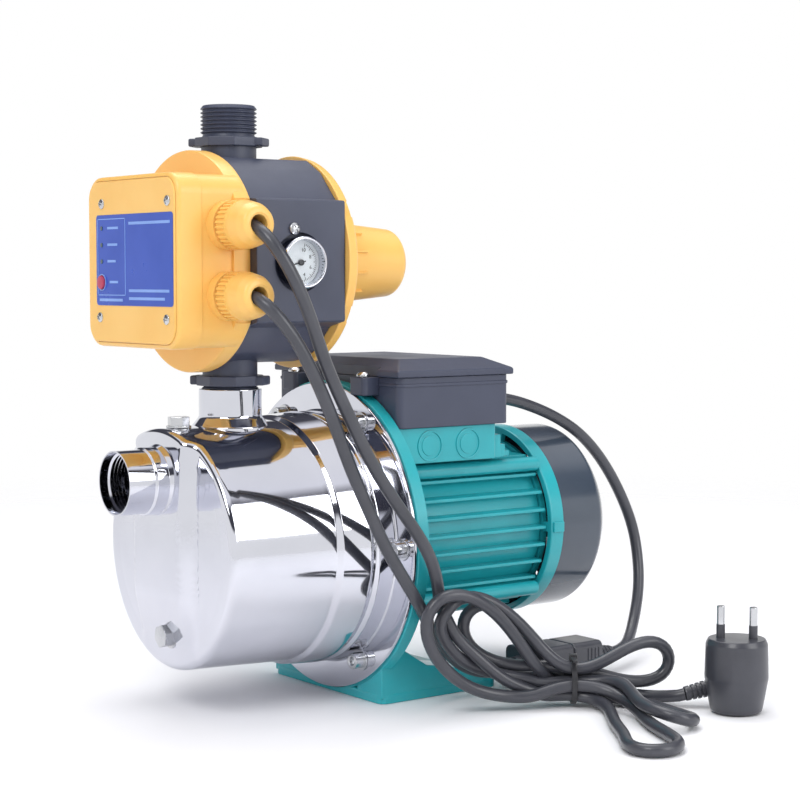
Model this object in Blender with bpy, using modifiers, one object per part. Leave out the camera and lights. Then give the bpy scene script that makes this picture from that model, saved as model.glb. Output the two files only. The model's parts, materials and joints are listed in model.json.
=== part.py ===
"""Shallow well jet pump with an automatic pressure controller on its outlet.

Frame: metres, +Z up, +Y from the suction port towards the fan cover. The origin is the centre of the
foot's flat base. The shaft runs along Y at height SHAFT_Z, and the outlet and the controller stand on
the vertical line at y = OUTLET_Y.
"""

import math

import bmesh
import bpy
from mathutils import Matrix, Vector
from mathutils.geometry import interpolate_bezier

# ---------------------------------------------------------------- driving dimensions
GAP = 0.0003  # clearance between pieces that touch
SHEET = 0.0018  # wall of the pressed stainless casing
WALL = 0.0025  # wall of the moulded plastic shells

SHAFT_Z = 0.097
SHAFT_R = 0.006
OUTLET_Y = -0.114
PORT_THREAD_R = 0.0166  # G1 pipe thread
PORT_BORE_R = 0.0126

SUCTION_Z = 0.138
SUCTION_END = -0.192
SUCTION_R = 0.0188
OUTLET_RIM = 0.190
OUTLET_R = 0.0187

CASING_FRONT = -0.158
BAND_FRONT = -0.165
BAND_HALF = 0.028
CASING_R = 0.0712
CASING_BACK_R = 0.0735
BAND_R = 0.0706
PLUG_Y = -0.1494
DRAIN = (0.004, 0.047)  # x and z of the drain plug
FLANGE_R = 0.0942
FLANGE_FRONT = -0.0476
FLANGE_BACK = -0.0456
BOLT_CIRCLE_R = 0.083
BOLT_HOLE_R = 0.0033
BOLTS = 6

BRACKET_FRONT = FLANGE_BACK + GAP
BRACKET_BACK = -0.0375
BRACKET_R = 0.0955
FOOT_HALF_X = 0.0588
FOOT_HALF_Y = 0.0453
FOOT_PLATE = 0.006
BEARING_R = 0.016
BEARING_WIDTH = 0.010
BEARING_SEAT_R = BEARING_R + GAP

HOUSING_FRONT = BRACKET_BACK + GAP
HOUSING_BACK = 0.0865
HOUSING_BORE = 0.0478
HOUSING_R = 0.0512
FIN_TIP_R = 0.0580
FIN_PITCH = 0.011
FIN_THICK = 0.0016
TIE_BAR = (0.047, 0.040)  # offset of each tie bar from the shaft, in x and z
PAD_TOP = 0.1655
PAD_HALF_X = 0.0620
PAD_Y = (-0.0372, 0.0408)

SHIELD_FRONT = HOUSING_BACK + GAP
SHIELD_BACK = 0.0970
SHIELD_R = 0.0618
COVER_FRONT = SHIELD_BACK + GAP
COVER_BACK = 0.1387
COVER_R = 0.0605
COVER_SHEET = 0.0012

BOX_HALF_X = 0.065
BOX_FRONT = -0.0368
BOX_BACK = 0.0485
BOX_BOTTOM = PAD_TOP + GAP
BOX_TOP = 0.1960
LID_TOP = 0.2068

CONTROL_Z = 0.265
PLATE_HALF_X = 0.0525
PLATE_HALF_Z = 0.0490
PLATE_FRONT = -0.1805
PLATE_BACK = -0.1785
CONTROL_FRONT = PLATE_BACK + GAP
CONTROL_BACK = -0.1333
FLOW_FRONT = CONTROL_BACK + GAP
FLOW_BACK = -0.0720
FLOW_R = 0.0600
REAR_COVER_FRONT = FLOW_BACK + GAP
REAR_COVER_R = 0.0640
DOME_END = 0.005
THREAD_TOP = 0.3570
THREAD_BOTTOM = 0.1720
UPPER_NUT = (0.3326, 0.3380)
LOWER_NUT = (0.1919, 0.1979)
BUTTON = (-0.0333, 0.2530)
BUTTON_R = 0.0040
GAUGE_Y = -0.1037
GAUGE_Z = 0.2644
GAUGE_R = 0.015
NEEDLE_REST = 14  # degrees below level, pointing forwards
BOSS_X = 0.060
GLAND_Y = -0.147
GLAND_ZS = (0.285, 0.2455)
GLAND_X = (0.0595, 0.0850)

CORD_R = 0.0035
TIE_CENTRE = Vector((0.128, 0.046, 0.0145))
TIE_AXIS = Vector((0.6, 0.8, 0.0))
HANK_LEAN = Vector((0.1006, -0.0344, 0.0548))  # middle of the bundle's upper end
BUNDLE_R = 0.0125

STEPS = 32  # sides of the large round pieces
SMALL_STEPS = 16

# Each cord's route, from where it leaves the object, as points picked along its middle.
MAINS_ROUTE = [
    (0.0720, -0.1470, 0.2850),
    (0.0860, -0.1480, 0.2845),
    (0.0950, -0.1455, 0.2755),
    (0.0980, -0.1380, 0.2640),
    (0.0990, -0.1290, 0.2470),
    (0.1000, -0.1210, 0.2270),
    (0.1000, -0.1150, 0.2100),
    (0.1010, -0.0990, 0.1790),
    (0.1020, -0.0840, 0.1510),
    (0.1040, -0.0660, 0.1250),
    (0.1045, -0.0500, 0.1050),
    (0.1035, -0.0395, 0.0880),
    (0.1018, -0.0300, 0.0683),
]
COUPLING_ROUTE = [
    (0.0720, -0.1470, 0.2455),
    (0.0850, -0.1490, 0.2455),
    (0.0930, -0.1450, 0.2390),
    (0.0960, -0.1350, 0.2270),
    (0.0975, -0.1250, 0.2110),
    (0.0980, -0.1100, 0.1820),
    (0.0985, -0.0960, 0.1490),
    (0.0990, -0.0830, 0.1230),
    (0.0990, -0.0720, 0.1020),
    (0.0985, -0.0560, 0.0790),
    (0.0945, -0.0420, 0.0620),
    (0.0880, -0.0330, 0.0530),
    (0.0790, -0.0190, 0.0400),
    (0.0725, -0.0040, 0.0270),
    (0.0704, 0.0090, 0.0180),
    (0.0708, 0.0200, 0.0138),
    (0.0710, 0.0300, 0.0130),
]
MOTOR_ROUTE = [
    (0.0260, 0.0645, 0.1790),
    (0.0265, 0.0740, 0.1785),
    (0.0270, 0.0900, 0.1750),
    (0.0280, 0.1050, 0.1700),
    (0.0280, 0.1200, 0.1640),
    (0.0280, 0.1400, 0.1530),
    (0.0280, 0.1580, 0.1370),
    (0.0280, 0.1730, 0.1180),
    (0.0290, 0.1840, 0.0980),
    (0.0310, 0.1890, 0.0820),
    (0.0340, 0.1890, 0.0680),
    (0.0390, 0.1860, 0.0540),
    (0.0450, 0.1790, 0.0400),
    (0.0510, 0.1700, 0.0280),
    (0.0590, 0.1585, 0.0180),
    (0.0675, 0.1450, 0.0135),
    (0.0710, 0.1315, 0.0130),
]
PLUG_ROUTE = [
    (0.1600, 0.0822, 0.0045),
    (0.1650, 0.0900, 0.0055),
    (0.1695, 0.0975, 0.0075),
]

COUPLING_Y = (0.0305, 0.0860)
MOTOR_PLUG_Y = (0.0863, 0.1305)
COUPLING_X = 0.071
COUPLING_Z = 0.0130
PLUG_AT = Vector((0.1980, 0.1120, 0.0))

COLOURS = {
    "stainless": ((0.78, 0.79, 0.80), 0.10, 1.0),
    "steel": ((0.62, 0.63, 0.65), 0.30, 1.0),
    "teal paint": ((0.015, 0.34, 0.37), 0.42, 0.0),
    "black enamel": ((0.035, 0.037, 0.045), 0.22, 0.0),
    "slate plastic": ((0.070, 0.078, 0.110), 0.45, 0.0),
    "yellow plastic": ((0.90, 0.57, 0.17), 0.38, 0.0),
    "red plastic": ((0.55, 0.04, 0.08), 0.35, 0.0),
    "cord rubber": ((0.045, 0.047, 0.058), 0.40, 0.0),
    "white plastic": ((0.80, 0.80, 0.78), 0.40, 0.0),
    "black rubber": ((0.02, 0.02, 0.02), 0.60, 0.0),
    "copper": ((0.72, 0.31, 0.14), 0.35, 1.0),
    "lamination": ((0.33, 0.34, 0.36), 0.45, 1.0),
    "brass": ((0.78, 0.57, 0.23), 0.25, 1.0),
    "grey resin": ((0.20, 0.21, 0.22), 0.50, 0.0),
    "board": ((0.03, 0.22, 0.08), 0.45, 0.0),
    "clear": ((0.85, 0.90, 0.92), 0.05, 0.0),
}


# ---------------------------------------------------------------- scene and materials
for old in list(bpy.data.objects):
    bpy.data.objects.remove(old, do_unlink=True)

parts = bpy.data.collections.new("jet_pump")
cutters = bpy.data.collections.new("cutters")
bpy.context.scene.collection.children.link(parts)
bpy.context.scene.collection.children.link(cutters)
cutters.hide_render = True

materials = {}
for title, (colour, roughness, metallic) in COLOURS.items():
    made = bpy.data.materials.new(title)
    made.use_nodes = True
    shader = made.node_tree.nodes["Principled BSDF"]
    shader.inputs["Base Color"].default_value = (*colour, 1.0)
    shader.inputs["Roughness"].default_value = roughness
    shader.inputs["Metallic"].default_value = metallic
    materials[title] = made


# ---------------------------------------------------------------- modelling helpers
def add_object(name, data, material):
    """Links a piece when it has a material, and a hidden cutter when it has none."""
    piece = bpy.data.objects.new(name, data)
    if material:
        parts.objects.link(piece)
        data.materials.append(materials[material])
    else:
        cutters.objects.link(piece)
        piece.hide_render = True
        piece.display_type = "WIRE"
    return piece


def from_bmesh(name, bm, material):
    mesh = bpy.data.meshes.new(name)
    bm.to_mesh(mesh)
    bm.free()
    return add_object(name, mesh, material)


def bevel(piece, width, segments=2, angle=40):
    rounding = piece.modifiers.new("rounded edges", "BEVEL")
    rounding.width = width
    rounding.segments = segments
    rounding.limit_method = "ANGLE"
    rounding.angle_limit = math.radians(angle)
    return piece


def box(name, low, high, material=None, radius=0.0, segments=2):
    """A block between two corners, with its edges rounded where a radius is given."""
    low, high = Vector(low), Vector(high)
    bm = bmesh.new()
    bmesh.ops.create_cube(bm, size=1.0)
    bmesh.ops.scale(bm, vec=high - low, verts=bm.verts)
    piece = from_bmesh(name, bm, material)
    piece.location = (low + high) / 2
    return bevel(piece, radius, segments) if radius else piece


def upright_block(name, low, high, axis, material=None, radius=0.01, segments=4):
    """A block whose four edges along one axis are rounded, as a moulded box is."""
    low, high = Vector(low), Vector(high)
    bm = bmesh.new()
    bmesh.ops.create_cube(bm, size=1.0)
    bmesh.ops.scale(bm, vec=high - low, verts=bm.verts)
    along = "XYZ".index(axis)
    edges = []
    for edge in bm.edges:
        run = edge.verts[0].co - edge.verts[1].co
        if abs(run[along]) > 1e-9:
            edges.append(edge)
    bmesh.ops.bevel(
        bm, geom=edges, offset=radius, segments=segments, affect="EDGES", profile=0.5, material=-1
    )
    piece = from_bmesh(name, bm, material)
    piece.location = (low + high) / 2
    return piece


def turn_to(axis):
    """The rotation that lays an object's own Z along the named world axis."""
    turns = {"X": (0.0, math.pi / 2, 0.0), "Y": (-math.pi / 2, 0.0, 0.0), "Z": (0.0, 0.0, 0.0)}
    return turns[axis]


def turned(name, outline, axis, place, material=None, steps=STEPS, ring=False):
    """A turned piece. The outline is (radius, distance along the axis) and runs down its outer side."""
    mesh = bpy.data.meshes.new(name)
    points = [(radius, 0.0, along) for radius, along in outline]
    edges = [(i, i + 1) for i in range(len(points) - 1)]
    if ring:
        edges.append((len(points) - 1, 0))
    mesh.from_pydata(points, edges, [])
    piece = add_object(name, mesh, material)
    piece.location = place
    piece.rotation_euler = turn_to(axis)
    lathe = piece.modifiers.new("lathe", "SCREW")
    lathe.axis = "Z"
    lathe.steps = steps
    lathe.render_steps = steps
    lathe.use_merge_vertices = True
    lathe.merge_threshold = 0.00005
    return piece


def rod(name, axis, place, start, end, radius, material=None, steps=SMALL_STEPS):
    outline = [(0.0, end), (radius, end), (radius, start), (0.0, start)]
    return turned(name, outline, axis, place, material, steps)


def tube(name, axis, place, start, end, inner, outer, material=None, steps=SMALL_STEPS):
    outline = [(outer, end), (outer, start), (inner, start), (inner, end)]
    return turned(name, outline, axis, place, material, steps, ring=True)


def hexagon(name, axis, place, start, end, across, material=None, sides=6, turn=0.0):
    """A nut or a bolt head of the given width across its flats."""
    bm = bmesh.new()
    radius = across / 2 / math.cos(math.pi / sides)
    bmesh.ops.create_cone(
        bm, cap_ends=True, segments=sides, radius1=radius, radius2=radius, depth=end - start
    )
    bmesh.ops.rotate(bm, verts=bm.verts, cent=(0, 0, 0), matrix=Matrix.Rotation(turn, 3, "Z"))
    bmesh.ops.translate(bm, verts=bm.verts, vec=(0, 0, (start + end) / 2))
    piece = from_bmesh(name, bm, material)
    piece.location = place
    piece.rotation_euler = turn_to(axis)
    return piece


def combine(piece, operation, others):
    """Cuts the others from a piece, or joins them to it, in the order given."""
    for other in others:
        boolean = piece.modifiers.new(f"{operation.lower()} {other.name}", "BOOLEAN")
        boolean.operation = operation
        boolean.object = other
        boolean.solver = "EXACT"
    return piece


def join(piece, *others):
    return combine(piece, "UNION", others)


def cut(piece, *others):
    return combine(piece, "DIFFERENCE", others)


def polar(radius, degrees, y=0.0):
    """A point on a circle round the shaft, counted from +X towards +Z."""
    angle = math.radians(degrees)
    return Vector((radius * math.cos(angle), y, SHAFT_Z + radius * math.sin(angle)))


def smooth_route(route, spacing):
    """Points a fixed distance apart on one smooth curve through the route's points."""
    points = [Vector(point) for point in route]
    tangents = []
    for i in range(len(points)):
        before = points[max(i - 1, 0)]
        after = points[min(i + 1, len(points) - 1)]
        tangents.append((after - before).normalized())
    fine = [points[0]]
    for i in range(len(points) - 1):
        reach = (points[i + 1] - points[i]).length / 3
        handles = points[i] + tangents[i] * reach, points[i + 1] - tangents[i + 1] * reach
        fine += interpolate_bezier(points[i], handles[0], handles[1], points[i + 1], 12)[1:]
    lengths = [0.0]
    for i in range(1, len(fine)):
        lengths.append(lengths[-1] + (fine[i] - fine[i - 1]).length)
    count = max(2, round(lengths[-1] / spacing))
    result = []
    k = 0
    for i in range(count + 1):
        wanted = lengths[-1] * i / count
        while k < len(fine) - 2 and lengths[k + 1] < wanted:
            k += 1
        span = lengths[k + 1] - lengths[k]
        result.append(fine[k].lerp(fine[k + 1], (wanted - lengths[k]) / span))
    return result


def cord(name, route, spacing=0.014):
    """A stretch of cord as a round bevelled curve with closed ends."""
    curve = bpy.data.curves.new(name, "CURVE")
    curve.dimensions = "3D"
    curve.bevel_depth = CORD_R
    curve.bevel_resolution = 2
    curve.use_fill_caps = True
    points = smooth_route(route, spacing)
    spline = curve.splines.new("POLY")
    spline.points.add(len(points) - 1)
    for place, point in zip(points, spline.points):
        point.co = (*place, 1.0)
    return add_object(name, curve, "cord rubber")


def bolt_hole(name, k):
    """The clearance hole for one flange bolt, as an eight-sided cutter."""
    place = polar(BOLT_CIRCLE_R, 60 * k)
    return hexagon(name, "Y", place, -0.0583, -0.0331, 2 * BOLT_HOLE_R, sides=8, turn=0.17)


# ---------------------------------------------------------------- the wet end
def casing_outline(front, radius, corner, back, back_radius):
    """The side of a drum that is closed at its front and has a rounded front edge."""
    outline = [(back_radius, back)]
    for k in range(4):
        angle = math.pi / 2 * k / 3
        along = front + corner * (1 - math.sin(angle))
        outline.append((radius - corner * (1 - math.cos(angle)), along))
    outline.append((0.0, front))
    return outline


def make_casing():
    """The pressed shell, with the raised band on its front and both threaded ports welded in."""
    axis = (0.0, 0.0, SHAFT_Z)
    mouth = 0.0750
    skirt = [
        (0.0, FLANGE_BACK),
        (FLANGE_R, FLANGE_BACK),
        (FLANGE_R, FLANGE_FRONT),
        (0.0768, FLANGE_FRONT),
        (0.0768, -0.0600),
        (0.0758, -0.0625),
        (0.0752, -0.0840),
    ]
    drum = casing_outline(CASING_FRONT, CASING_R, 0.008, -0.0870, CASING_BACK_R)
    casing = turned("pump_casing", skirt + drum, "Y", axis, "stainless")
    band_form = [(0.0, -0.13)] + casing_outline(BAND_FRONT, BAND_R, 0.012, -0.13, BAND_R)
    band = turned("band form", band_form, "Y", axis)
    band_slice = box("band slice", (-BAND_HALF, -0.20, 0.0850), (BAND_HALF, -0.10, 0.2))
    combine(band, "INTERSECT", [band_slice])
    suction = rod("suction tube", "Y", (0, 0, SUCTION_Z), SUCTION_END, -0.150, SUCTION_R, steps=24)
    outlet = turned(
        "outlet tube",
        [(0.0, OUTLET_RIM), (OUTLET_R, OUTLET_RIM), (OUTLET_R, 0.1715), (0.0225, 0.1675), (0.0225, 0.150), (0.0, 0.150)],
        "Z",
        (0, OUTLET_Y, 0),
        steps=24,
    )
    join(casing, band, suction, outlet)

    inner_drum = casing_outline(CASING_FRONT + SHEET, CASING_R - SHEET, 0.007, -0.0855, CASING_BACK_R - SHEET)
    chamber_top = [(0.0, -0.04), (mouth, -0.04), (mouth, -0.0610), (0.0740, -0.0625), (0.0734, -0.0840)]
    chamber = turned("chamber", chamber_top + inner_drum, "Y", axis)
    inner_radius = BAND_R - SHEET
    inner_form = [(0.0, -0.14)] + casing_outline(BAND_FRONT + SHEET, inner_radius, 0.0105, -0.14, inner_radius)
    inner_band = turned("inner band form", inner_form, "Y", axis)
    inner_slice = box("inner band slice", (SHEET - BAND_HALF, -0.20, 0.0870), (BAND_HALF - SHEET, -0.10, 0.2))
    combine(inner_band, "INTERSECT", [inner_slice])
    suction_bore = rod("suction bore", "Y", (0, 0, SUCTION_Z), -0.21, -0.1475, PORT_THREAD_R, steps=22)
    outlet_bore = rod("outlet bore", "Z", (0, OUTLET_Y, 0), 0.150, 0.20, PORT_THREAD_R + GAP, steps=24)
    priming_hole = rod("priming hole", "Z", (0, PLUG_Y, 0), 0.155, 0.18, 0.0048, steps=12)
    drain_hole = rod("drain hole", "Y", (DRAIN[0], 0, DRAIN[1]), -0.18, -0.150, 0.0048, steps=12)
    cut(casing, chamber, inner_band, suction_bore, outlet_bore, priming_hole, drain_hole)
    for k in range(BOLTS):
        cut(casing, bolt_hole(f"flange hole {k + 1}", k))
    return casing


def make_plugs():
    """The priming plug on top of the casing and the drain plug at the bottom of its front."""
    top = SHAFT_Z + CASING_R + GAP
    priming = hexagon("priming_plug", "Z", (0, PLUG_Y, 0), top, top + 0.0058, 0.0115, "steel", turn=0.3)
    join(priming, rod("priming shank", "Z", (0, PLUG_Y, 0), top - 0.0055, top + 0.0005, 0.0044, steps=8))
    front = CASING_FRONT - GAP
    place = (DRAIN[0], 0, DRAIN[1])
    drain = hexagon("drain_plug", "Y", place, front - 0.0072, front, 0.0120, "steel")
    join(drain, rod("drain shank", "Y", place, front - 0.0007, front + 0.0053, 0.0044, steps=8))


def make_ejector():
    """The nozzle and the venturi that draw water up, then the diffuser and the impeller."""
    axis = (0.0, 0.0, SHAFT_Z)
    nozzle = [
        (0.0200, -0.1460),
        (0.0200, -0.1490),
        (0.0110, -0.1490),
        (0.0045, -0.1260),
        (0.0060, -0.1260),
        (0.0130, -0.1460),
    ]
    turned("jet_nozzle", nozzle, "Y", axis, "brass", steps=16, ring=True)
    venturi = [
        (0.0150, -0.0970),
        (0.0105, -0.1080),
        (0.0105, -0.1130),
        (0.0170, -0.1230),
        (0.0150, -0.1230),
        (0.0080, -0.1130),
        (0.0080, -0.1080),
        (0.0125, -0.0970),
    ]
    turned("venturi_tube", venturi, "Y", axis, "grey resin", steps=16, ring=True)
    diffuser = [
        (0.0645, -0.0680),
        (0.0645, -0.0920),
        (0.0600, -0.0960),
        (0.0145, -0.0960),
        (0.0145, -0.0930),
        (0.0590, -0.0930),
        (0.0620, -0.0905),
        (0.0620, -0.0680),
    ]
    turned("diffuser", diffuser, "Y", axis, "grey resin", steps=24, ring=True)

    hub = [(0.0560, -0.0730), (0.0560, -0.0745), (0.0090, -0.0745), (0.0090, -0.0860)]
    hub += [(SHAFT_R + GAP, -0.0860), (SHAFT_R + GAP, -0.0730)]
    impeller = turned("impeller", hub, "Y", axis, "brass", steps=24, ring=True)
    shroud = [(0.0560, -0.0838), (0.0560, -0.0852), (0.0130, -0.0872), (0.0130, -0.0857)]
    join(impeller, turned("impeller shroud", shroud, "Y", axis, steps=24, ring=True))
    for k in range(6):
        vane = box(f"vane {k + 1}", (0.0135, -0.0850, -0.0009), (0.0550, -0.0740, 0.0009))
        start = Matrix.Translation(Vector(axis)) @ Matrix.Rotation(math.radians(60 * k), 4, "Y")
        lean = Matrix.Translation((0.030, 0, 0)) @ Matrix.Rotation(math.radians(25), 4, "Y")
        back = Matrix.Translation((-0.030, 0, 0))
        vane.matrix_world = start @ lean @ back @ Matrix.Translation(vane.location)
        join(impeller, vane)


def make_seals():
    axis = (0.0, 0.0, SHAFT_Z)
    tube("shaft_seal", "Y", axis, -0.0727, -0.0560, SHAFT_R + GAP, 0.0125, "black rubber", 16)
    plate = [
        (0.0745, -0.0520),
        (0.0745, -0.0540),
        (0.0150, -0.0540),
        (0.0150, -0.0557),
        (0.0070, -0.0557),
        (0.0070, -0.0520),
    ]
    turned("seal_plate", plate, "Y", axis, "steel", steps=28, ring=True)
    section = []
    for k in range(5):
        angle = -2 * math.pi * k / 5
        section.append((0.0733 + 0.0012 * math.cos(angle), -0.0504 + 0.0012 * math.sin(angle)))
    turned("casing_gasket", section, "Y", axis, "black rubber", steps=24, ring=True)


def make_flange_bolts():
    """Six socket-head screws with washers clamp the casing flange to the bracket."""
    head_outline = [
        (0.0, -0.0405),
        (0.0028, -0.0405),
        (0.0028, FLANGE_FRONT - GAP),
        (0.0056, FLANGE_FRONT - GAP),
        (0.0056, -0.0491),
        (0.0049, -0.0491),
        (0.0049, -0.0552),
        (0.0, -0.0552),
    ]
    for k in range(BOLTS):
        place = polar(BOLT_CIRCLE_R, 60 * k)
        turned(f"flange_bolt_{k + 1}", head_outline, "Y", place, "steel", steps=8)


# ---------------------------------------------------------------- bracket and motor
def make_bracket():
    """The cast bracket: the flange behind the casing, the front bearing's seat and the foot."""
    axis = (0.0, 0.0, SHAFT_Z)
    outline = [
        (BRACKET_R, BRACKET_BACK),
        (BRACKET_R, BRACKET_FRONT),
        (0.0075, BRACKET_FRONT),
        (0.0075, -0.0362),
        (BEARING_SEAT_R, -0.0362),
        (BEARING_SEAT_R, -0.0255),
        (0.0220, -0.0255),
        (0.0240, BRACKET_BACK),
    ]
    bracket = turned("motor_bracket", outline, "Y", axis, "teal paint", steps=30, ring=True)
    plate = upright_block(
        "foot plate",
        (-FOOT_HALF_X, -FOOT_HALF_Y, 0.0),
        (FOOT_HALF_X, FOOT_HALF_Y, FOOT_PLATE),
        "Z",
        radius=0.006,
        segments=3,
    )
    legs = []
    for side in (-1, 1):
        low, high = sorted((side * (FOOT_HALF_X - 0.0005), side * (FOOT_HALF_X - 0.0265)))
        bm = bmesh.new()
        corners = [(-FOOT_HALF_Y + 0.0004, 0.003), (0.0400, 0.003), (0.0400, 0.0105)]
        corners += [(-0.0100, 0.0200), (BRACKET_BACK - 0.001, 0.0380), (BRACKET_FRONT + 0.001, 0.0520)]
        verts = [bm.verts.new((low, y, z)) for y, z in corners]
        face = bm.faces.new(verts)
        moved = bmesh.ops.extrude_face_region(bm, geom=[face])["geom"]
        tops = [item for item in moved if isinstance(item, bmesh.types.BMVert)]
        bmesh.ops.translate(bm, verts=tops, vec=(high - low, 0, 0))
        bmesh.ops.recalc_face_normals(bm, faces=bm.faces)
        legs.append(from_bmesh(f"leg {side}", bm, None))
    join(bracket, plate, *legs)
    for side in (-1, 1):
        for y in (0.012, 0.034):
            slot = rod(f"foot hole {side} {y}", "Z", (side * 0.0455, y, 0), -0.01, 0.05, 0.0035, steps=8)
            cut(bracket, slot)
    for k in range(BOLTS):
        cut(bracket, bolt_hole(f"bracket hole {k + 1}", k))


def make_housing():
    """The finned frame of the motor, with its tie bars and the pad under the terminal box."""
    axis = (0.0, 0.0, SHAFT_Z)
    housing = tube("motor_housing", "Y", axis, HOUSING_FRONT, HOUSING_BACK, HOUSING_BORE, HOUSING_R, "teal paint", STEPS)
    back = HOUSING_BACK - 0.0005
    for k in range(-4, 5):
        height = SHAFT_Z + k * FIN_PITCH
        half = math.sqrt(FIN_TIP_R**2 - (k * FIN_PITCH) ** 2)
        inner = math.sqrt(max(0.0495**2 - (k * FIN_PITCH) ** 2, 0.0))
        for side in (-1, 1):
            low, high = sorted((side * inner, side * half))
            fin = box(
                f"fin {k} {side}",
                (low, HOUSING_FRONT + 0.0004, height - FIN_THICK / 2),
                (high, back, height + FIN_THICK / 2),
            )
            join(housing, fin)
    for side_x in (-1, 1):
        for side_z in (-1, 1):
            place = (side_x * TIE_BAR[0], 0, SHAFT_Z + side_z * TIE_BAR[1])
            bar = rod(f"tie bar {side_x} {side_z}", "Y", place, HOUSING_FRONT + 0.0002, back, 0.0045, steps=8)
            web = box(f"tie web {side_x} {side_z}", (-0.0140, HOUSING_FRONT + 0.0006, -0.0015), (0.0, back - 0.0004, 0.0015))
            angle = math.atan2(side_z * TIE_BAR[1], side_x * TIE_BAR[0])
            turn = Matrix.Rotation(-angle, 4, "Y")
            web.matrix_world = Matrix.Translation(place) @ turn @ Matrix.Translation(web.location)
            join(housing, web, bar)
    pad = box("pad", (-PAD_HALF_X, PAD_Y[0] + 0.0008, 0.1440), (PAD_HALF_X, PAD_Y[1], PAD_TOP))
    bore = rod("housing bore", "Y", axis, -0.06, 0.10, HOUSING_BORE, steps=STEPS)
    join(housing, pad)
    cut(housing, bore)


def make_motor():
    """The stator, its winding, the rotor, the shaft and the two ball bearings."""
    axis = (0.0, 0.0, SHAFT_Z)
    tube("stator_core", "Y", axis, -0.0080, 0.0600, 0.0346, 0.0474, "lamination", 24)
    winding = [
        (0.0430, 0.0745),
        (0.0430, 0.0604),
        (0.0342, 0.0604),
        (0.0342, -0.0084),
        (0.0430, -0.0084),
        (0.0430, -0.0220),
        (0.0310, -0.0220),
        (0.0305, 0.0745),
    ]
    turned("stator_winding", winding, "Y", axis, "copper", steps=24, ring=True)
    tube("rotor_core", "Y", axis, -0.0080, 0.0600, SHAFT_R + GAP, 0.0298, "lamination", 24)
    rod("motor_shaft", "Y", axis, -0.0875, 0.1230, SHAFT_R, "steel", 16)
    for name, start in (("front_bearing", -0.0358), ("rear_bearing", 0.0872)):
        tube(name, "Y", axis, start, start + BEARING_WIDTH, SHAFT_R + GAP, BEARING_R, "steel", 16)


def make_rear_end():
    """The rear end shield, the fan on the shaft and the steel fan cover."""
    axis = (0.0, 0.0, SHAFT_Z)
    outline = [
        (SHIELD_R, SHIELD_BACK),
        (SHIELD_R, SHIELD_FRONT),
        (BEARING_SEAT_R, SHIELD_FRONT),
        (BEARING_SEAT_R, 0.0974),
        (0.0075, 0.0974),
        (0.0075, 0.0988),
        (0.0200, 0.0988),
        (0.0220, 0.0903),
        (0.0575, 0.0903),
        (0.0590, SHIELD_BACK),
    ]
    shield = turned("end_shield", outline, "Y", axis, "teal paint", steps=28, ring=True)
    for k in range(8):
        degrees = 45 * k + (20 if k % 2 == 0 else 23)
        slot = box(f"vent {k + 1}", (-0.0030, SHIELD_FRONT - 0.002, -0.0135), (0.0030, 0.0925, 0.0135))
        turn = Matrix.Rotation(-math.radians(degrees), 4, "Y")
        place = Matrix.Translation(polar(0.0550, degrees)) @ turn
        slot.matrix_world = place @ Matrix.Translation(slot.location)
        cut(shield, slot)

    hub = [(0.0120, 0.1190), (0.0140, 0.1030), (0.0300, 0.1020), (0.0300, 0.1000)]
    hub += [(SHAFT_R + GAP, 0.1000), (SHAFT_R + GAP, 0.1190)]
    fan = turned("cooling_fan", hub, "Y", axis, "slate plastic", steps=16, ring=True)
    for k in range(8):
        blade = box(f"blade {k + 1}", (0.0110, 0.1010, -0.0009), (0.0510, 0.1180, 0.0009))
        turn = Matrix.Rotation(math.radians(45 * k), 4, "Y")
        blade.matrix_world = Matrix.Translation(Vector(axis)) @ turn @ Matrix.Translation(blade.location)
        join(fan, blade)

    back = COVER_BACK
    cover = [
        (0.0, back - COVER_SHEET),
        (0.0550, back - COVER_SHEET),
        (COVER_R - COVER_SHEET, back - 0.0075),
        (COVER_R - COVER_SHEET, COVER_FRONT),
        (COVER_R, COVER_FRONT),
        (COVER_R, back - 0.0070),
        (0.0588, back - 0.0025),
        (0.0545, back),
        (0.0, back),
    ]
    shell = turned("fan_cover", cover[::-1], "Y", axis, "black enamel")
    for k in range(8):
        slit = box(f"grille slit {k + 1}", (0.0160, 0.13, -0.0019), (0.0470, 0.15, 0.0019))
        turn = Matrix.Rotation(math.radians(45 * k), 4, "Y")
        slit.matrix_world = Matrix.Translation(Vector(axis)) @ turn @ Matrix.Translation(slit.location)
        cut(shell, slit)


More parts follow.
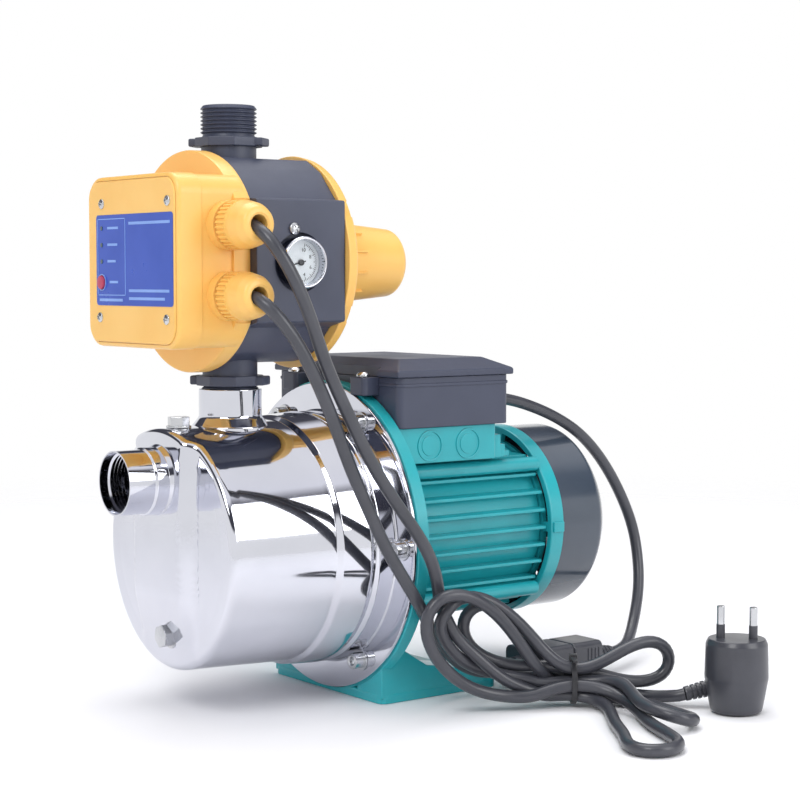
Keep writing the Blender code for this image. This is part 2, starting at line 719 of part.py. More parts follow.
# ---------------------------------------------------------------- terminal box
def make_terminal_box():
    """The plastic box on the motor with its lid, screws, terminals, run capacitor and cord gland."""
    body = upright_block(
        "terminal_box",
        (-BOX_HALF_X, BOX_FRONT, BOX_BOTTOM),
        (BOX_HALF_X, BOX_BACK, BOX_TOP),
        "Z",
        "slate plastic",
        radius=0.005,
        segments=2,
    )
    for side in (-1, 1):
        low, high = sorted((side * 0.0280, side * 0.0460))
        join(body, box(f"screw pillar {side}", (low, -0.0480, 0.1900), (high, -0.0350, BOX_TOP)))
    hollow = box(
        "box hollow",
        (WALL - BOX_HALF_X, BOX_FRONT + WALL, BOX_BOTTOM + WALL),
        (BOX_HALF_X - WALL, BOX_BACK - WALL, 0.25),
    )
    cord_hole = rod("box cord hole", "Y", (0.026, 0, 0.179), 0.040, 0.060, 0.0055, steps=16)
    cut(body, hollow, cord_hole)
    for side in (-1, 1):
        hole = rod(f"pillar hole {side}", "Z", (side * 0.037, -0.0430, 0), 0.1915, 0.20, 0.0019, steps=12)
        cut(body, hole)

    base = BOX_TOP + GAP
    bm = bmesh.new()
    bmesh.ops.create_cube(bm, size=1.0)
    bmesh.ops.scale(bm, vec=(0.134, 0.0895, 1.0), verts=bm.verts)
    for vert in bm.verts:
        top = vert.co.z > 0
        if top:
            vert.co.x *= 0.58
            vert.co.y *= 0.80
        vert.co.z = LID_TOP if top else 0.2005
    bottom = [face for face in bm.faces if face.calc_center_median().z < 0.2006]
    moved = bmesh.ops.extrude_face_region(bm, geom=bottom)["geom"]
    lower = [item for item in moved if isinstance(item, bmesh.types.BMVert)]
    for vert in lower:
        vert.co.z = base
    bmesh.ops.delete(bm, geom=bottom, context="FACES_ONLY")
    bmesh.ops.recalc_face_normals(bm, faces=bm.faces)
    lid = from_bmesh("terminal_lid", bm, "slate plastic")
    lid.location = (0, 0.00575, 0)
    recess = box("lid recess", (-0.045, -0.08, 0.19), (0.045, -0.0355, 0.2005))
    inside = box("lid inside", (-0.0600, -0.0330, 0.19), (0.0600, 0.0455, 0.2000))
    cut(lid, recess, inside)

    for side, label in ((-1, "left"), (1, "right")):
        screw = [
            (0.0, 0.1990),
            (0.0020, 0.1988),
            (0.0038, 0.1976),
            (0.0040, BOX_TOP + GAP),
            (0.0016, BOX_TOP + GAP),
            (0.0016, 0.1920),
            (0.0, 0.1920),
        ]
        turned(f"lid_screw_{label}", screw, "Z", (side * 0.037, -0.0430, 0), "steel", steps=12)

    block = box("terminal_block", (-0.0300, -0.0150, 0.1687), (0.0300, 0.0050, 0.1800), "white plastic")
    for k in range(3):
        x = -0.020 + 0.020 * k
        cut(block, rod(f"terminal hole {k + 1}", "Z", (x, -0.005, 0), 0.1740, 0.19, 0.0030, steps=12))
    rod("run_capacitor", "X", (0, 0.0290, 0.1812), -0.0320, 0.0320, 0.0120, "white plastic", 16)

    gland = [
        (0.0095, BOX_BACK + 0.0060),
        (0.0095, BOX_BACK + GAP),
        (0.0052, BOX_BACK + GAP),
        (0.0052, BOX_BACK - 0.0040),
        (0.0040, BOX_BACK - 0.0040),
        (0.0040, 0.0642),
        (0.0058, 0.0642),
        (0.0078, 0.0560),
    ]
    turned("box_gland", gland, "Y", (0.026, 0, 0.179), "slate plastic", steps=12, ring=True)


# ---------------------------------------------------------------- pressure controller
def make_control_front():
    """The yellow front housing with its plate, button and circuit board."""
    body = upright_block(
        "control_box",
        (-PLATE_HALF_X, CONTROL_FRONT, CONTROL_Z - PLATE_HALF_Z - 0.0005),
        (PLATE_HALF_X, -0.1380, CONTROL_Z + PLATE_HALF_Z + 0.0005),
        "Y",
        "yellow plastic",
        radius=0.012,
        segments=4,
    )
    disc = rod("control disc", "Y", (0, 0, CONTROL_Z), -0.1440, CONTROL_BACK, 0.0650, steps=STEPS)
    cut(disc, box("gland notch", (0.0532, -0.1500, 0.2280), (0.0800, -0.1300, 0.3025)))
    towers = []
    for side in (-1, 1):
        place = (0, 0, CONTROL_Z + side * 0.0570)
        towers.append(rod(f"screw tower {side}", "Y", place, -0.1560, -0.1400, 0.0065, steps=12))
    bosses = []
    for k, z in enumerate(GLAND_ZS):
        bosses.append(rod(f"gland boss {k + 1}", "X", (0, GLAND_Y, z), 0.045, GLAND_X[0] - GAP, 0.0140))
    join(body, disc, *towers, *bosses)
    hollow = upright_block(
        "control hollow",
        (WALL - PLATE_HALF_X, CONTROL_FRONT - 0.01, CONTROL_Z - PLATE_HALF_Z + WALL),
        (PLATE_HALF_X - WALL, CONTROL_BACK - WALL, CONTROL_Z + PLATE_HALF_Z - WALL),
        "Y",
        radius=0.010,
        segments=3,
    )
    cut(body, hollow)
    for k, z in enumerate(GLAND_ZS):
        cut(body, rod(f"gland hole {k + 1}", "X", (0, GLAND_Y, z), 0.045, 0.065, 0.0065, steps=16))

    plate = upright_block(
        "front_plate",
        (-PLATE_HALF_X, PLATE_FRONT, CONTROL_Z - PLATE_HALF_Z),
        (PLATE_HALF_X, PLATE_BACK, CONTROL_Z + PLATE_HALF_Z),
        "Y",
        "yellow plastic",
        radius=0.012,
        segments=4,
    )
    place = (BUTTON[0], 0, BUTTON[1])
    cut(plate, rod("button hole", "Y", place, -0.19, -0.17, BUTTON_R + GAP))
    button = [
        (0.0, -0.1690),
        (0.0025, -0.1690),
        (0.0025, -0.1765),
        (0.0052, -0.1765),
        (0.0052, -0.1780),
        (BUTTON_R, -0.1780),
        (BUTTON_R, -0.1822),
        (0.0030, -0.1830),
        (0.0, -0.1830),
    ]
    origin = (BUTTON[0], 0, BUTTON[1])
    turned("reset_button", button, "Y", origin, "red plastic", steps=12)
    low = (-0.0450, -0.1600, CONTROL_Z - 0.0420)
    box("circuit_board", low, (0.0450, -0.1584, CONTROL_Z + 0.0420), "board")


def make_flow_body():
    """The slate valve body: a drum across the flow, with a threaded stub at each end."""
    drum_axis = (0, 0, CONTROL_Z)
    body = rod("flow_body", "Y", drum_axis, FLOW_FRONT, FLOW_BACK, FLOW_R, "slate plastic", STEPS)
    boss = box("gauge boss", (0.0310, FLOW_FRONT + 0.0016, 0.2300), (BOSS_X, FLOW_BACK - 0.0012, 0.3005))
    centre = (0, OUTLET_Y, 0)
    upper = turned(
        "upper stub",
        [(0.0, THREAD_TOP), (0.0150, THREAD_TOP), (PORT_THREAD_R, THREAD_TOP - 0.0016), (PORT_THREAD_R, 0.30), (0.0, 0.30)],
        "Z",
        centre,
        steps=24,
    )
    lower = rod("lower stub", "Z", centre, THREAD_BOTTOM, 0.22, PORT_THREAD_R, steps=24)
    join(body, boss, upper, lower)
    lower_bore = rod("lower bore", "Z", centre, 0.15, 0.25, 0.0105, steps=16)
    upper_bore = rod("upper bore", "Z", centre, 0.2360, 0.40, 0.0140, steps=20)
    chamber = rod("pressure chamber", "Y", drum_axis, -0.0868, 0.0, 0.0400, steps=28)
    pressure_port = box("pressure port", (0.0030, -0.1031, 0.2911), (0.0080, -0.0823, 0.2963))
    recess = rod("gauge recess", "X", (0, GAUGE_Y, GAUGE_Z), 0.0540, 0.08, 0.0172, steps=24)
    cut(body, lower_bore, upper_bore, chamber, pressure_port, recess)
    screw_place = (0, -0.1079, 0.2836)
    cut(body, rod("body screw hole", "X", screw_place, 0.052, 0.08, 0.0018, steps=8))

    screw = [
        (0.0, BOSS_X + 0.0024),
        (0.0020, BOSS_X + 0.0022),
        (0.0034, BOSS_X + 0.0012),
        (0.0034, BOSS_X + GAP),
        (0.0015, BOSS_X + GAP),
        (0.0015, 0.0530),
        (0.0, 0.0530),
    ]
    turned("body_screw", screw, "X", screw_place, "steel", steps=12)
    valve = [
        (0.0, 0.2640),
        (0.0060, 0.2640),
        (0.0060, 0.2520),
        (0.0035, 0.2520),
        (0.0035, 0.2390),
        (0.0128, 0.2385),
        (0.0128, 0.2364),
        (0.0, 0.2364),
    ]
    turned("flow_valve", valve, "Z", centre, "white plastic", steps=16)
    for name, (low, high) in (("upper_nut", UPPER_NUT), ("lower_nut", LOWER_NUT)):
        nut = hexagon(name, "Z", centre, low, high, 0.0372, "slate plastic", sides=8, turn=math.pi / 8)
        lug = box(f"{name} lugs", (-0.0232, OUTLET_Y - 0.0070, low + 0.0002), (0.0232, OUTLET_Y + 0.0070, high - 0.0002))
        lug.rotation_euler = (0, 0, math.radians(38))
        bore = rod(f"{name} bore", "Z", centre, low - 0.01, high + 0.01, PORT_THREAD_R + 0.0004, steps=24)
        join(nut, lug)
        cut(nut, bore)


def make_rear_cover():
    """The yellow spring housing, with the diaphragm and its spring inside."""
    drum_axis = (0, 0, CONTROL_Z)
    outline = [
        (0.0, DOME_END),
        (0.0150, DOME_END - 0.0005),
        (0.0195, DOME_END - 0.0035),
        (0.0212, -0.0010),
        (0.0250, -0.0420),
        (0.0265, -0.0560),
        (0.0560, -0.0620),
        (0.0620, -0.0655),
        (REAR_COVER_R, REAR_COVER_FRONT),
        (0.0, REAR_COVER_FRONT),
    ]
    cover = turned("rear_cover", outline, "Y", drum_axis, "yellow plastic", steps=28)
    seat = rod("diaphragm seat", "Y", drum_axis, -0.10, -0.0690, 0.0466, steps=28)
    bore = rod("spring bore", "Y", drum_axis, -0.08, 0.0, 0.0170, steps=16)
    cut(cover, seat, bore)
    for k in range(6):
        angle = math.radians(60 * k + 30)
        place = (0.0560 * math.cos(angle), 0, CONTROL_Z + 0.0560 * math.sin(angle))
        pocket = rod(f"cover pocket {k + 1}", "Y", place, -0.0665, -0.05, 0.0052, steps=8)
        cut(cover, pocket)
    disc = [(0.0, -0.0690 - GAP), (0.0460, -0.0690 - GAP), (0.0460, -0.0714), (0.0, -0.0714)]
    turned("diaphragm", disc, "Y", drum_axis, "black rubber", steps=24)

    curve = bpy.data.curves.new("pressure_spring", "CURVE")
    curve.dimensions = "3D"
    curve.bevel_depth = 0.0011
    curve.bevel_resolution = 0
    curve.use_fill_caps = True
    spline = curve.splines.new("POLY")
    turns, per_turn = 6, 8
    spline.points.add(turns * per_turn)
    for k in range(turns * per_turn + 1):
        angle = 2 * math.pi * k / per_turn
        along = -0.0665 + 0.0590 * k / (turns * per_turn)
        spline.points[k].co = (0.0140 * math.cos(angle), along, CONTROL_Z + 0.0140 * math.sin(angle), 1.0)
    add_object("pressure_spring", curve, "steel")


def make_gauge():
    """The round pressure gauge: its case with the dial, the needle and the glass."""
    axis = (0, GAUGE_Y, GAUGE_Z)
    case = [
        (0.0, 0.0600),
        (0.0132, 0.0600),
        (0.0132, 0.0665),
        (GAUGE_R, 0.0665),
        (GAUGE_R, 0.0545),
        (0.0, 0.0545),
    ]
    turned("gauge_case", case, "X", axis, "stainless", steps=24)
    needle = box("gauge_needle", (0.0606, -0.0100, -0.0008), (0.0612, 0.0030, 0.0008), "black enamel")
    turn = Matrix.Rotation(math.radians(NEEDLE_REST), 4, "X")
    needle.matrix_world = Matrix.Translation((0, GAUGE_Y, GAUGE_Z)) @ turn @ Matrix.Translation(needle.location)
    hub = rod("needle hub", "X", axis, 0.0604, 0.0618, 0.0018, steps=12)
    join(needle, hub)
    rod("gauge_glass", "X", axis, 0.0640, 0.0652, 0.0129, "clear", 20)


def make_gland_nuts():
    """The two ribbed yellow nuts that grip the cords, each with a domed end."""
    for name, z in (("upper_gland_nut", GLAND_ZS[0]), ("lower_gland_nut", GLAND_ZS[1])):
        near, far = GLAND_X
        outline = [
            (0.0085, far),
            (0.0115, far - 0.0020),
            (0.0140, far - 0.0070),
            (0.0148, far - 0.0130),
            (0.0148, near + GAP),
            (0.0052, near + GAP),
            (0.0052, far),
        ]
        turned(name, outline, "X", (0, GLAND_Y, z), "yellow plastic", steps=16, ring=True)


# ---------------------------------------------------------------- cords and what is on them
def make_hank():
    """The outer shape of the folded cord: a leaning bundle, its tied neck and three loops beyond the tie."""
    low_end = TIE_CENTRE - 0.012 * TIE_AXIS
    forward = (low_end - HANK_LEAN).normalized()
    side = Vector((-forward.y, forward.x, 0)).normalized()
    upright = forward.cross(side)
    length = (low_end - HANK_LEAN).length
    bm = bmesh.new()
    bmesh.ops.create_cube(bm, size=1.0)
    bmesh.ops.scale(bm, vec=(length, 0.016, 0.042), verts=bm.verts)
    for vert in bm.verts:
        if vert.co.x > 0:
            vert.co.z *= 0.52
    lobes = from_bmesh("cord_hank", bm, "cord rubber")
    turn = Matrix((forward, side, upright)).transposed().to_4x4()
    lobes.matrix_world = Matrix.Translation((low_end + HANK_LEAN) / 2) @ turn
    neck = rod("hank neck", "Z", TIE_CENTRE, -0.0165, 0.0240, BUNDLE_R, steps=12)
    neck.rotation_euler = TIE_AXIS.to_track_quat("Z", "Y").to_euler()

    outline = [
        (0.1400, 0.0500),
        (0.1650, 0.0220),
        (0.2000, 0.0020),
        (0.2400, -0.0135),
        (0.2540, -0.0120),
        (0.2520, 0.0030),
        (0.2280, 0.0260),
        (0.2160, 0.0370),
        (0.2180, 0.0470),
        (0.2060, 0.0600),
        (0.1800, 0.0780),
        (0.1500, 0.0780),
        (0.1380, 0.0660),
    ]
    bm = bmesh.new()
    face = bm.faces.new([bm.verts.new((x, y, 0.0002)) for x, y in outline])
    moved = bmesh.ops.extrude_face_region(bm, geom=[face])["geom"]
    tops = [item for item in moved if isinstance(item, bmesh.types.BMVert)]
    bmesh.ops.translate(bm, verts=tops, vec=(0, 0, 0.0083))
    bmesh.ops.recalc_face_normals(bm, faces=bm.faces)
    floor_loops = from_bmesh("floor loops", bm, None)

    hub = TIE_CENTRE + 0.018 * TIE_AXIS
    far = Vector((0.1510, 0.1165, hub.z))
    run = far - hub
    rising = upright_block("rising loop", (-0.006, -0.0055, 0.0008), (run.length, 0.0055, 0.0420), "Y", radius=0.012)
    spin = Matrix.Rotation(math.atan2(run.y, run.x), 4, "Z")
    rising.matrix_world = Matrix.Translation((hub.x, hub.y, 0)) @ spin @ Matrix.Translation(rising.location)
    join(lobes, neck, floor_loops, rising)


def make_mains_plug():
    """An angled two-pin plug lying on its back, pins up."""
    plug = turned(
        "mains_plug",
        [(0.0, 0.0440), (0.0170, 0.0440), (0.0185, 0.0420), (0.0190, 0.0200), (0.0150, 0.0002), (0.0, 0.0002)],
        "Z",
        PLUG_AT,
        "cord rubber",
        steps=16,
    )
    pins = []
    for side in (-1, 1):
        place = PLUG_AT + Vector((side * 0.0095 * 0.80, side * 0.0095 * 0.60, 0))
        pins.append(rod(f"plug pin {side}", "Z", place, 0.040, 0.0630, 0.0024, steps=12))
    direction = (Vector(PLUG_ROUTE[-1]) - Vector(PLUG_ROUTE[-2])).normalized()
    relief = rod("plug relief", "Z", (0, 0, 0), GAP, 0.0300, 0.0052, steps=12)
    relief.rotation_euler = direction.to_track_quat("Z", "Y").to_euler()
    relief.location = PLUG_ROUTE[-1]
    join(plug, relief, *pins)


def make_couplings():
    """The inline connector: the controller's socket and the motor lead's plug, pushed together."""
    x, z = COUPLING_X, COUPLING_Z
    for name, (low, high), relief_at in (
        ("coupling_socket", COUPLING_Y, "low"),
        ("motor_plug", MOTOR_PLUG_Y, "high"),
    ):
        near = low + (0.022 if relief_at == "low" else 0.0)
        far = high - (0.020 if relief_at == "high" else 0.0)
        body = box(name, (x - 0.0140, near, z - 0.0125), (x + 0.0140, far, z + 0.0125), "cord rubber", 0.003, 1)
        start, end = (low, near + 0.001) if relief_at == "low" else (far - 0.001, high)
        join(body, rod(f"{name} relief", "Y", (x, 0, z), start, end, 0.0062, steps=12))


def make_tie():
    """The cable tie round the neck of the hank."""
    inner = BUNDLE_R + 0.0006
    tie = tube("hank_tie", "Z", TIE_CENTRE, -0.0015, 0.0015, inner, inner + 0.0008, "black enamel", 16)
    tie.rotation_euler = TIE_AXIS.to_track_quat("Z", "Y").to_euler()


make_casing()
make_plugs()
make_ejector()
make_seals()
make_flange_bolts()
make_bracket()
make_housing()
make_motor()
make_rear_end()
make_terminal_box()
make_control_front()
make_flow_body()
make_rear_cover()
make_gauge()
make_gland_nuts()
cord("mains_cord", MAINS_ROUTE)
cord("coupling_cord", COUPLING_ROUTE)
cord("motor_cord", MOTOR_ROUTE)
cord("plug_cord", PLUG_ROUTE)
make_hank()
make_tie()
make_mains_plug()
make_couplings()
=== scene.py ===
# %% [markdown]
# # A jet pump on a studio floor
# This lesson dresses a finished pump model. The model already fixes every size and every joint, so each
# step below makes one visible piece or one finish around it. Read it top to bottom: helpers first, then
# light and camera, then the cords, and then the pump from its steel casing to its controller.

# %% Load the frame
import json
import math

import bmesh
import bpy
import numpy as np
from mathutils import Matrix, Vector
from mathutils.geometry import interpolate_bezier


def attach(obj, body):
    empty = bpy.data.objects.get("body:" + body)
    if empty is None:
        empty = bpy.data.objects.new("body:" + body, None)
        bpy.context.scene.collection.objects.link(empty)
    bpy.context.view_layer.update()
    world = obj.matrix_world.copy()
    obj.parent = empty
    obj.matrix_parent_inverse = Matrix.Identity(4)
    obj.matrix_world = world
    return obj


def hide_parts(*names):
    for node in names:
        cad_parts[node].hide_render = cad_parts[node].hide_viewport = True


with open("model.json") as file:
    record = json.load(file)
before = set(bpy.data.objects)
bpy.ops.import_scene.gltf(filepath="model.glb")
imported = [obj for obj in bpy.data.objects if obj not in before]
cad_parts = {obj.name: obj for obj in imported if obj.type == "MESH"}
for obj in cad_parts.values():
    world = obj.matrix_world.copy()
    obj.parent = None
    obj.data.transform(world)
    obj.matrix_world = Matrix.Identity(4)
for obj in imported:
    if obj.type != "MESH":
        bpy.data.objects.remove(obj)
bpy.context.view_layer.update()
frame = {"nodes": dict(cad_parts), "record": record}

# %% [markdown]
# ## Sizes that many pieces share
# The foot stands on z = 0 and the shaft lies along Y. A few heights and radii place everything else, so
# they get names here, in metres.

# %% Driving sizes
SHAFT_Z = 0.097
OUTLET_Y = -0.114
SUCTION_Z = 0.138
SUCTION_END = -0.192
CASING_FRONT = -0.158
CASING_R = 0.0712
BAND_RISE = 0.007
BAND_HALF = 0.0285
CONTROL_Z = 0.265
PLATE_FRONT = -0.1805
PLATE_HALF_X = 0.0525
PLATE_HALF_Z = 0.0490
PORT_THREAD_R = 0.0166
THREAD_PITCH = 0.0023
GLAND_Y = -0.147
GLAND_ZS = {"upper_gland_nut": 0.2850, "lower_gland_nut": 0.2455}
CORD_D = 0.0074
AXES = {"X": Vector((1, 0, 0)), "Y": Vector((0, 1, 0)), "Z": Vector((0, 0, 1))}

# %% [markdown]
# ## Helpers for making shapes
# A real pump is mostly turned, pressed and moulded parts. Two helpers cover them: a spun outline, whose
# corners are rounded by a small curve, and a block with bevelled edges. Each works on an open bmesh, so
# several shapes can share one piece.


# %% Round the corners of an outline
def filleted(corners, segments=4):
    """Points along an outline of (radius, along, corner radius), with each inner corner rounded."""
    points = []
    for i, (across, along, radius) in enumerate(corners):
        here = Vector((across, along))
        if radius == 0 or i in (0, len(corners) - 1):
            points.append(here)
            continue
        back = Vector(corners[i - 1][:2]) - here
        ahead = Vector(corners[i + 1][:2]) - here
        half = back.angle(ahead) / 2
        cut = min(radius / math.tan(half), 0.49 * back.length, 0.49 * ahead.length)
        first = here + back.normalized() * cut
        last = here + ahead.normalized() * cut
        for k in range(segments + 1):
            t = k / segments
            points.append(first * (1 - t) ** 2 + here * (2 * t * (1 - t)) + last * t**2)
    return points


# %% Spin an outline
def spun(bm, outline, axis, centre, steps=96, closed=False, segments=4):
    """Turns an outline of (radius, along, corner radius) about a line through centre."""
    along_axis = AXES[axis]
    out = AXES["X"] if axis != "X" else AXES["Y"]
    points = filleted(outline, segments)
    verts = [bm.verts.new(Vector(centre) + out * p.x + along_axis * p.y) for p in points]
    edges = [bm.edges.new(pair) for pair in zip(verts, verts[1:])]
    if closed:
        edges.append(bm.edges.new((verts[-1], verts[0])))
    bmesh.ops.spin(
        bm, geom=verts + edges, cent=centre, axis=along_axis, angle=2 * math.pi, steps=steps, use_merge=True
    )
    bmesh.ops.remove_doubles(bm, verts=bm.verts, dist=2e-6)


# %% Add a block with soft edges
def block(bm, low, high, width=0.0006, segments=2, turn=None, axis=None):
    """Adds a box between two corners. With an axis, only the edges along it are rounded."""
    low, high = Vector(low), Vector(high)
    place = Matrix.Translation((low + high) / 2) @ Matrix.Diagonal((*(high - low), 1.0))
    made = bmesh.ops.create_cube(bm, size=1.0, matrix=place)["verts"]
    edges = {edge for vert in made for edge in vert.link_edges}
    if axis:
        edges = {e for e in edges if abs((e.verts[0].co - e.verts[1].co).dot(AXES[axis])) > 1e-6}
    if width:
        made = {vert for vert in made if vert.is_valid}
        result = bmesh.ops.bevel(
            bm,
            geom=list(edges),
            offset=width,
            offset_type="OFFSET",
            segments=segments,
            profile=0.5,
            affect="EDGES",
            material=-1,
        )
        made = {v for v in made if v.is_valid} | set(result["verts"])
    if turn:
        bmesh.ops.transform(bm, matrix=turn, verts=list(made))
    return made


def disc(bm, axis, centre, start, end, radius, edge=0.0003, steps=32):
    """A short solid cylinder with rounded rims."""
    outline = [(0, start, 0), (radius, start, edge), (radius, end, edge), (0, end, 0)]
    spun(bm, outline, axis, centre, steps, segments=2)


def hex_form(bm, axis, centre, start, end, across, sides=6, turn=0.0, width=0.0004):
    """A nut or bolt head with broken edges."""
    radius = across / 2 / math.cos(math.pi / sides)
    lay = {"X": Matrix.Rotation(math.pi / 2, 4, "Y"), "Y": Matrix.Rotation(-math.pi / 2, 4, "X"), "Z": Matrix()}
    place = Matrix.Translation(centre) @ lay[axis] @ Matrix.Translation((0, 0, (start + end) / 2))
    place = place @ Matrix.Rotation(turn, 4, "Z")
    made = bmesh.ops.create_cone(
        bm, cap_ends=True, segments=sides, radius1=radius, radius2=radius, depth=end - start, matrix=place
    )["verts"]
    edges = {edge for vert in made for edge in vert.link_edges}
    bmesh.ops.bevel(
        bm, geom=list(edges), offset=width, offset_type="OFFSET", segments=2, profile=0.5, affect="EDGES", material=-1
    )


# %% Turn a bmesh into a finished piece
def make(name, bm, finish, body="root", replaces=(), sharp=38, cutters=()):
    """Closes a bmesh into an object, cuts it, shades it and hands it to its body."""
    bmesh.ops.recalc_face_normals(bm, faces=bm.faces)
    mesh = bpy.data.meshes.new(name)
    bm.to_mesh(mesh)
    bm.free()
    piece = bpy.data.objects.new(name, mesh)
    bpy.context.scene.collection.objects.link(piece)
    if cutters:
        cut_away(piece, cutters)
    mesh = piece.data
    mesh.materials.clear()
    mesh.materials.append(finish)
    mesh.shade_smooth()
    mesh.set_sharp_from_angle(angle=math.radians(sharp))
    steady = piece.modifiers.new("even shading", "WEIGHTED_NORMAL")
    steady.keep_sharp = True
    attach(piece, body)
    if replaces:
        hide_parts(*replaces)
    print(f"{name}: {len(mesh.polygons)} faces")
    return piece


def cut_away(piece, cutters):
    """Subtracts each cutter bmesh from the piece and keeps only the result."""
    helpers = []
    for cutter in cutters:
        bmesh.ops.recalc_face_normals(cutter, faces=cutter.faces)
        mesh = bpy.data.meshes.new("cutter")
        cutter.to_mesh(mesh)
        cutter.free()
        helper = bpy.data.objects.new("cutter", mesh)
        bpy.context.scene.collection.objects.link(helper)
        helpers.append(helper)
        boolean = piece.modifiers.new("cut", "BOOLEAN")
        boolean.operation = "DIFFERENCE"
        boolean.object = helper
        boolean.solver = "EXACT"
    bpy.context.view_layer.update()
    result = bpy.data.meshes.new_from_object(piece.evaluated_get(bpy.context.evaluated_depsgraph_get()))
    piece.modifiers.clear()
    piece.data = result
    for helper in helpers:
        bpy.data.objects.remove(helper, do_unlink=True)


# %% [markdown]
# ## Finishes
# Paint, plastic and rubber share one idea: a base colour that drifts a little from place to place, a
# grain that catches light, and a gloss that is never quite even. One node group makes all three as
# masks, and each material decides how strongly to use them.


# %% Build the shared surface group
def surface_group():
    group = bpy.data.node_groups.new("worn surface", "ShaderNodeTree")
    face = group.interface
    for title, kind, value in (
        ("Colour", "NodeSocketColor", (0.5, 0.5, 0.5, 1)),
        ("Shade", "NodeSocketColor", (0.4, 0.4, 0.4, 1)),
        ("Patch Scale", "NodeSocketFloat", 30.0),
        ("Grain Scale", "NodeSocketFloat", 1500.0),
        ("Grain Mix", "NodeSocketFloat", 0.2),
        ("Rough Low", "NodeSocketFloat", 0.3),
        ("Rough High", "NodeSocketFloat", 0.5),
    ):
        socket = face.new_socket(name=title, in_out="INPUT", socket_type=kind)
        socket.default_value = value
    for title, kind in (("Colour", "NodeSocketColor"), ("Roughness", "NodeSocketFloat"), ("Height", "NodeSocketFloat")):
        face.new_socket(name=title, in_out="OUTPUT", socket_type=kind)
    nodes, links = group.nodes, group.links
    source = nodes.new("NodeGroupInput")
    result = nodes.new("NodeGroupOutput")
    place = nodes.new("ShaderNodeTexCoord")
    patches = nodes.new("ShaderNodeTexNoise")
    patches.inputs["Detail"].default_value = 4
    grain = nodes.new("ShaderNodeTexNoise")
    grain.inputs["Detail"].default_value = 2
    spread = nodes.new("ShaderNodeMapRange")
    spread.inputs["From Min"].default_value = 0.35
    spread.inputs["From Max"].default_value = 0.68
    both = nodes.new("ShaderNodeMix")
    tint = nodes.new("ShaderNodeMix")
    tint.data_type = "RGBA"
    gloss = nodes.new("ShaderNodeMapRange")
    links.new(place.outputs["Object"], patches.inputs["Vector"])
    links.new(place.outputs["Object"], grain.inputs["Vector"])
    links.new(source.outputs["Patch Scale"], patches.inputs["Scale"])
    links.new(source.outputs["Grain Scale"], grain.inputs["Scale"])
    links.new(patches.outputs["Fac"], spread.inputs["Value"])
    links.new(source.outputs["Grain Mix"], both.inputs["Factor"])
    links.new(spread.outputs["Result"], both.inputs["A"])
    links.new(grain.outputs["Fac"], both.inputs["B"])
    links.new(both.outputs["Result"], tint.inputs["Factor"])
    links.new(source.outputs["Colour"], tint.inputs["A"])
    links.new(source.outputs["Shade"], tint.inputs["B"])
    links.new(tint.outputs["Result"], result.inputs["Colour"])
    links.new(both.outputs["Result"], gloss.inputs["Value"])
    links.new(source.outputs["Rough Low"], gloss.inputs["To Min"])
    links.new(source.outputs["Rough High"], gloss.inputs["To Max"])
    links.new(gloss.outputs["Result"], result.inputs["Roughness"])
    links.new(grain.outputs["Fac"], result.inputs["Height"])
    return group


SURFACE = surface_group()
print("surface group sockets:", [item.name for item in SURFACE.interface.items_tree])


# %% Make a finish from the group
def finish(title, slot, colour, shade, patch, grain, grain_mix, rough, bump=0.0, depth=0.0001, **sockets):
    """A material whose colour, gloss and grain come from the shared group."""
    material = bpy.data.materials.new(title)
    material.use_nodes = True
    material["slot"] = slot
    nodes, links = material.node_tree.nodes, material.node_tree.links
    shader = nodes["Principled BSDF"]
    worn = nodes.new("ShaderNodeGroup")
    worn.node_tree = SURFACE
    worn.inputs["Colour"].default_value = (*colour, 1)
    worn.inputs["Shade"].default_value = (*shade, 1)
    worn.inputs["Patch Scale"].default_value = patch
    worn.inputs["Grain Scale"].default_value = grain
    worn.inputs["Grain Mix"].default_value = grain_mix
    worn.inputs["Rough Low"].default_value = rough[0]
    worn.inputs["Rough High"].default_value = rough[1]
    links.new(worn.outputs["Colour"], shader.inputs["Base Color"])
    links.new(worn.outputs["Roughness"], shader.inputs["Roughness"])
    if bump:
        relief = nodes.new("ShaderNodeBump")
        relief.inputs["Strength"].default_value = bump
        relief.inputs["Distance"].default_value = depth
        links.new(worn.outputs["Height"], relief.inputs["Height"])
        links.new(relief.outputs["Normal"], shader.inputs["Normal"])
    for socket, value in sockets.items():
        shader.inputs[socket.replace("_", " ")].default_value = value
    return material


STEEL = finish(
    "polished stainless", "stainless", (0.70, 0.71, 0.77), (0.63, 0.64, 0.70), 18, 900, 0.15, (0.04, 0.09), Metallic=1.0
)
ZINC = finish("zinc plate", "zinc_steel", (0.66, 0.67, 0.69), (0.48, 0.49, 0.51), 60, 1200, 0.3, (0.16, 0.34), Metallic=1.0)
TEAL = finish(
    "teal enamel", "teal_paint", (0.018, 0.400, 0.450), (0.012, 0.330, 0.380), 35, 700, 0.35, (0.26, 0.42),
    bump=0.25, depth=0.00015, Coat_Weight=0.25, Coat_Roughness=0.15,
)
ENAMEL = finish(
    "black enamel", "black_enamel", (0.042, 0.058, 0.084), (0.054, 0.072, 0.100), 22, 900, 0.15, (0.16, 0.26),
    bump=0.05, Coat_Weight=0.6, Coat_Roughness=0.06,
)
SLATE = finish(
    "slate plastic", "slate_plastic", (0.052, 0.061, 0.100), (0.042, 0.049, 0.082), 40, 1600, 0.4, (0.36, 0.50),
    bump=0.22, depth=0.00012,
)
YELLOW = finish(
    "yellow plastic", "yellow_plastic", (0.900, 0.545, 0.150), (0.860, 0.490, 0.120), 26, 1300, 0.3, (0.30, 0.42),
    bump=0.10, depth=0.0001, Subsurface_Weight=0.08, Subsurface_Scale=0.002,
)
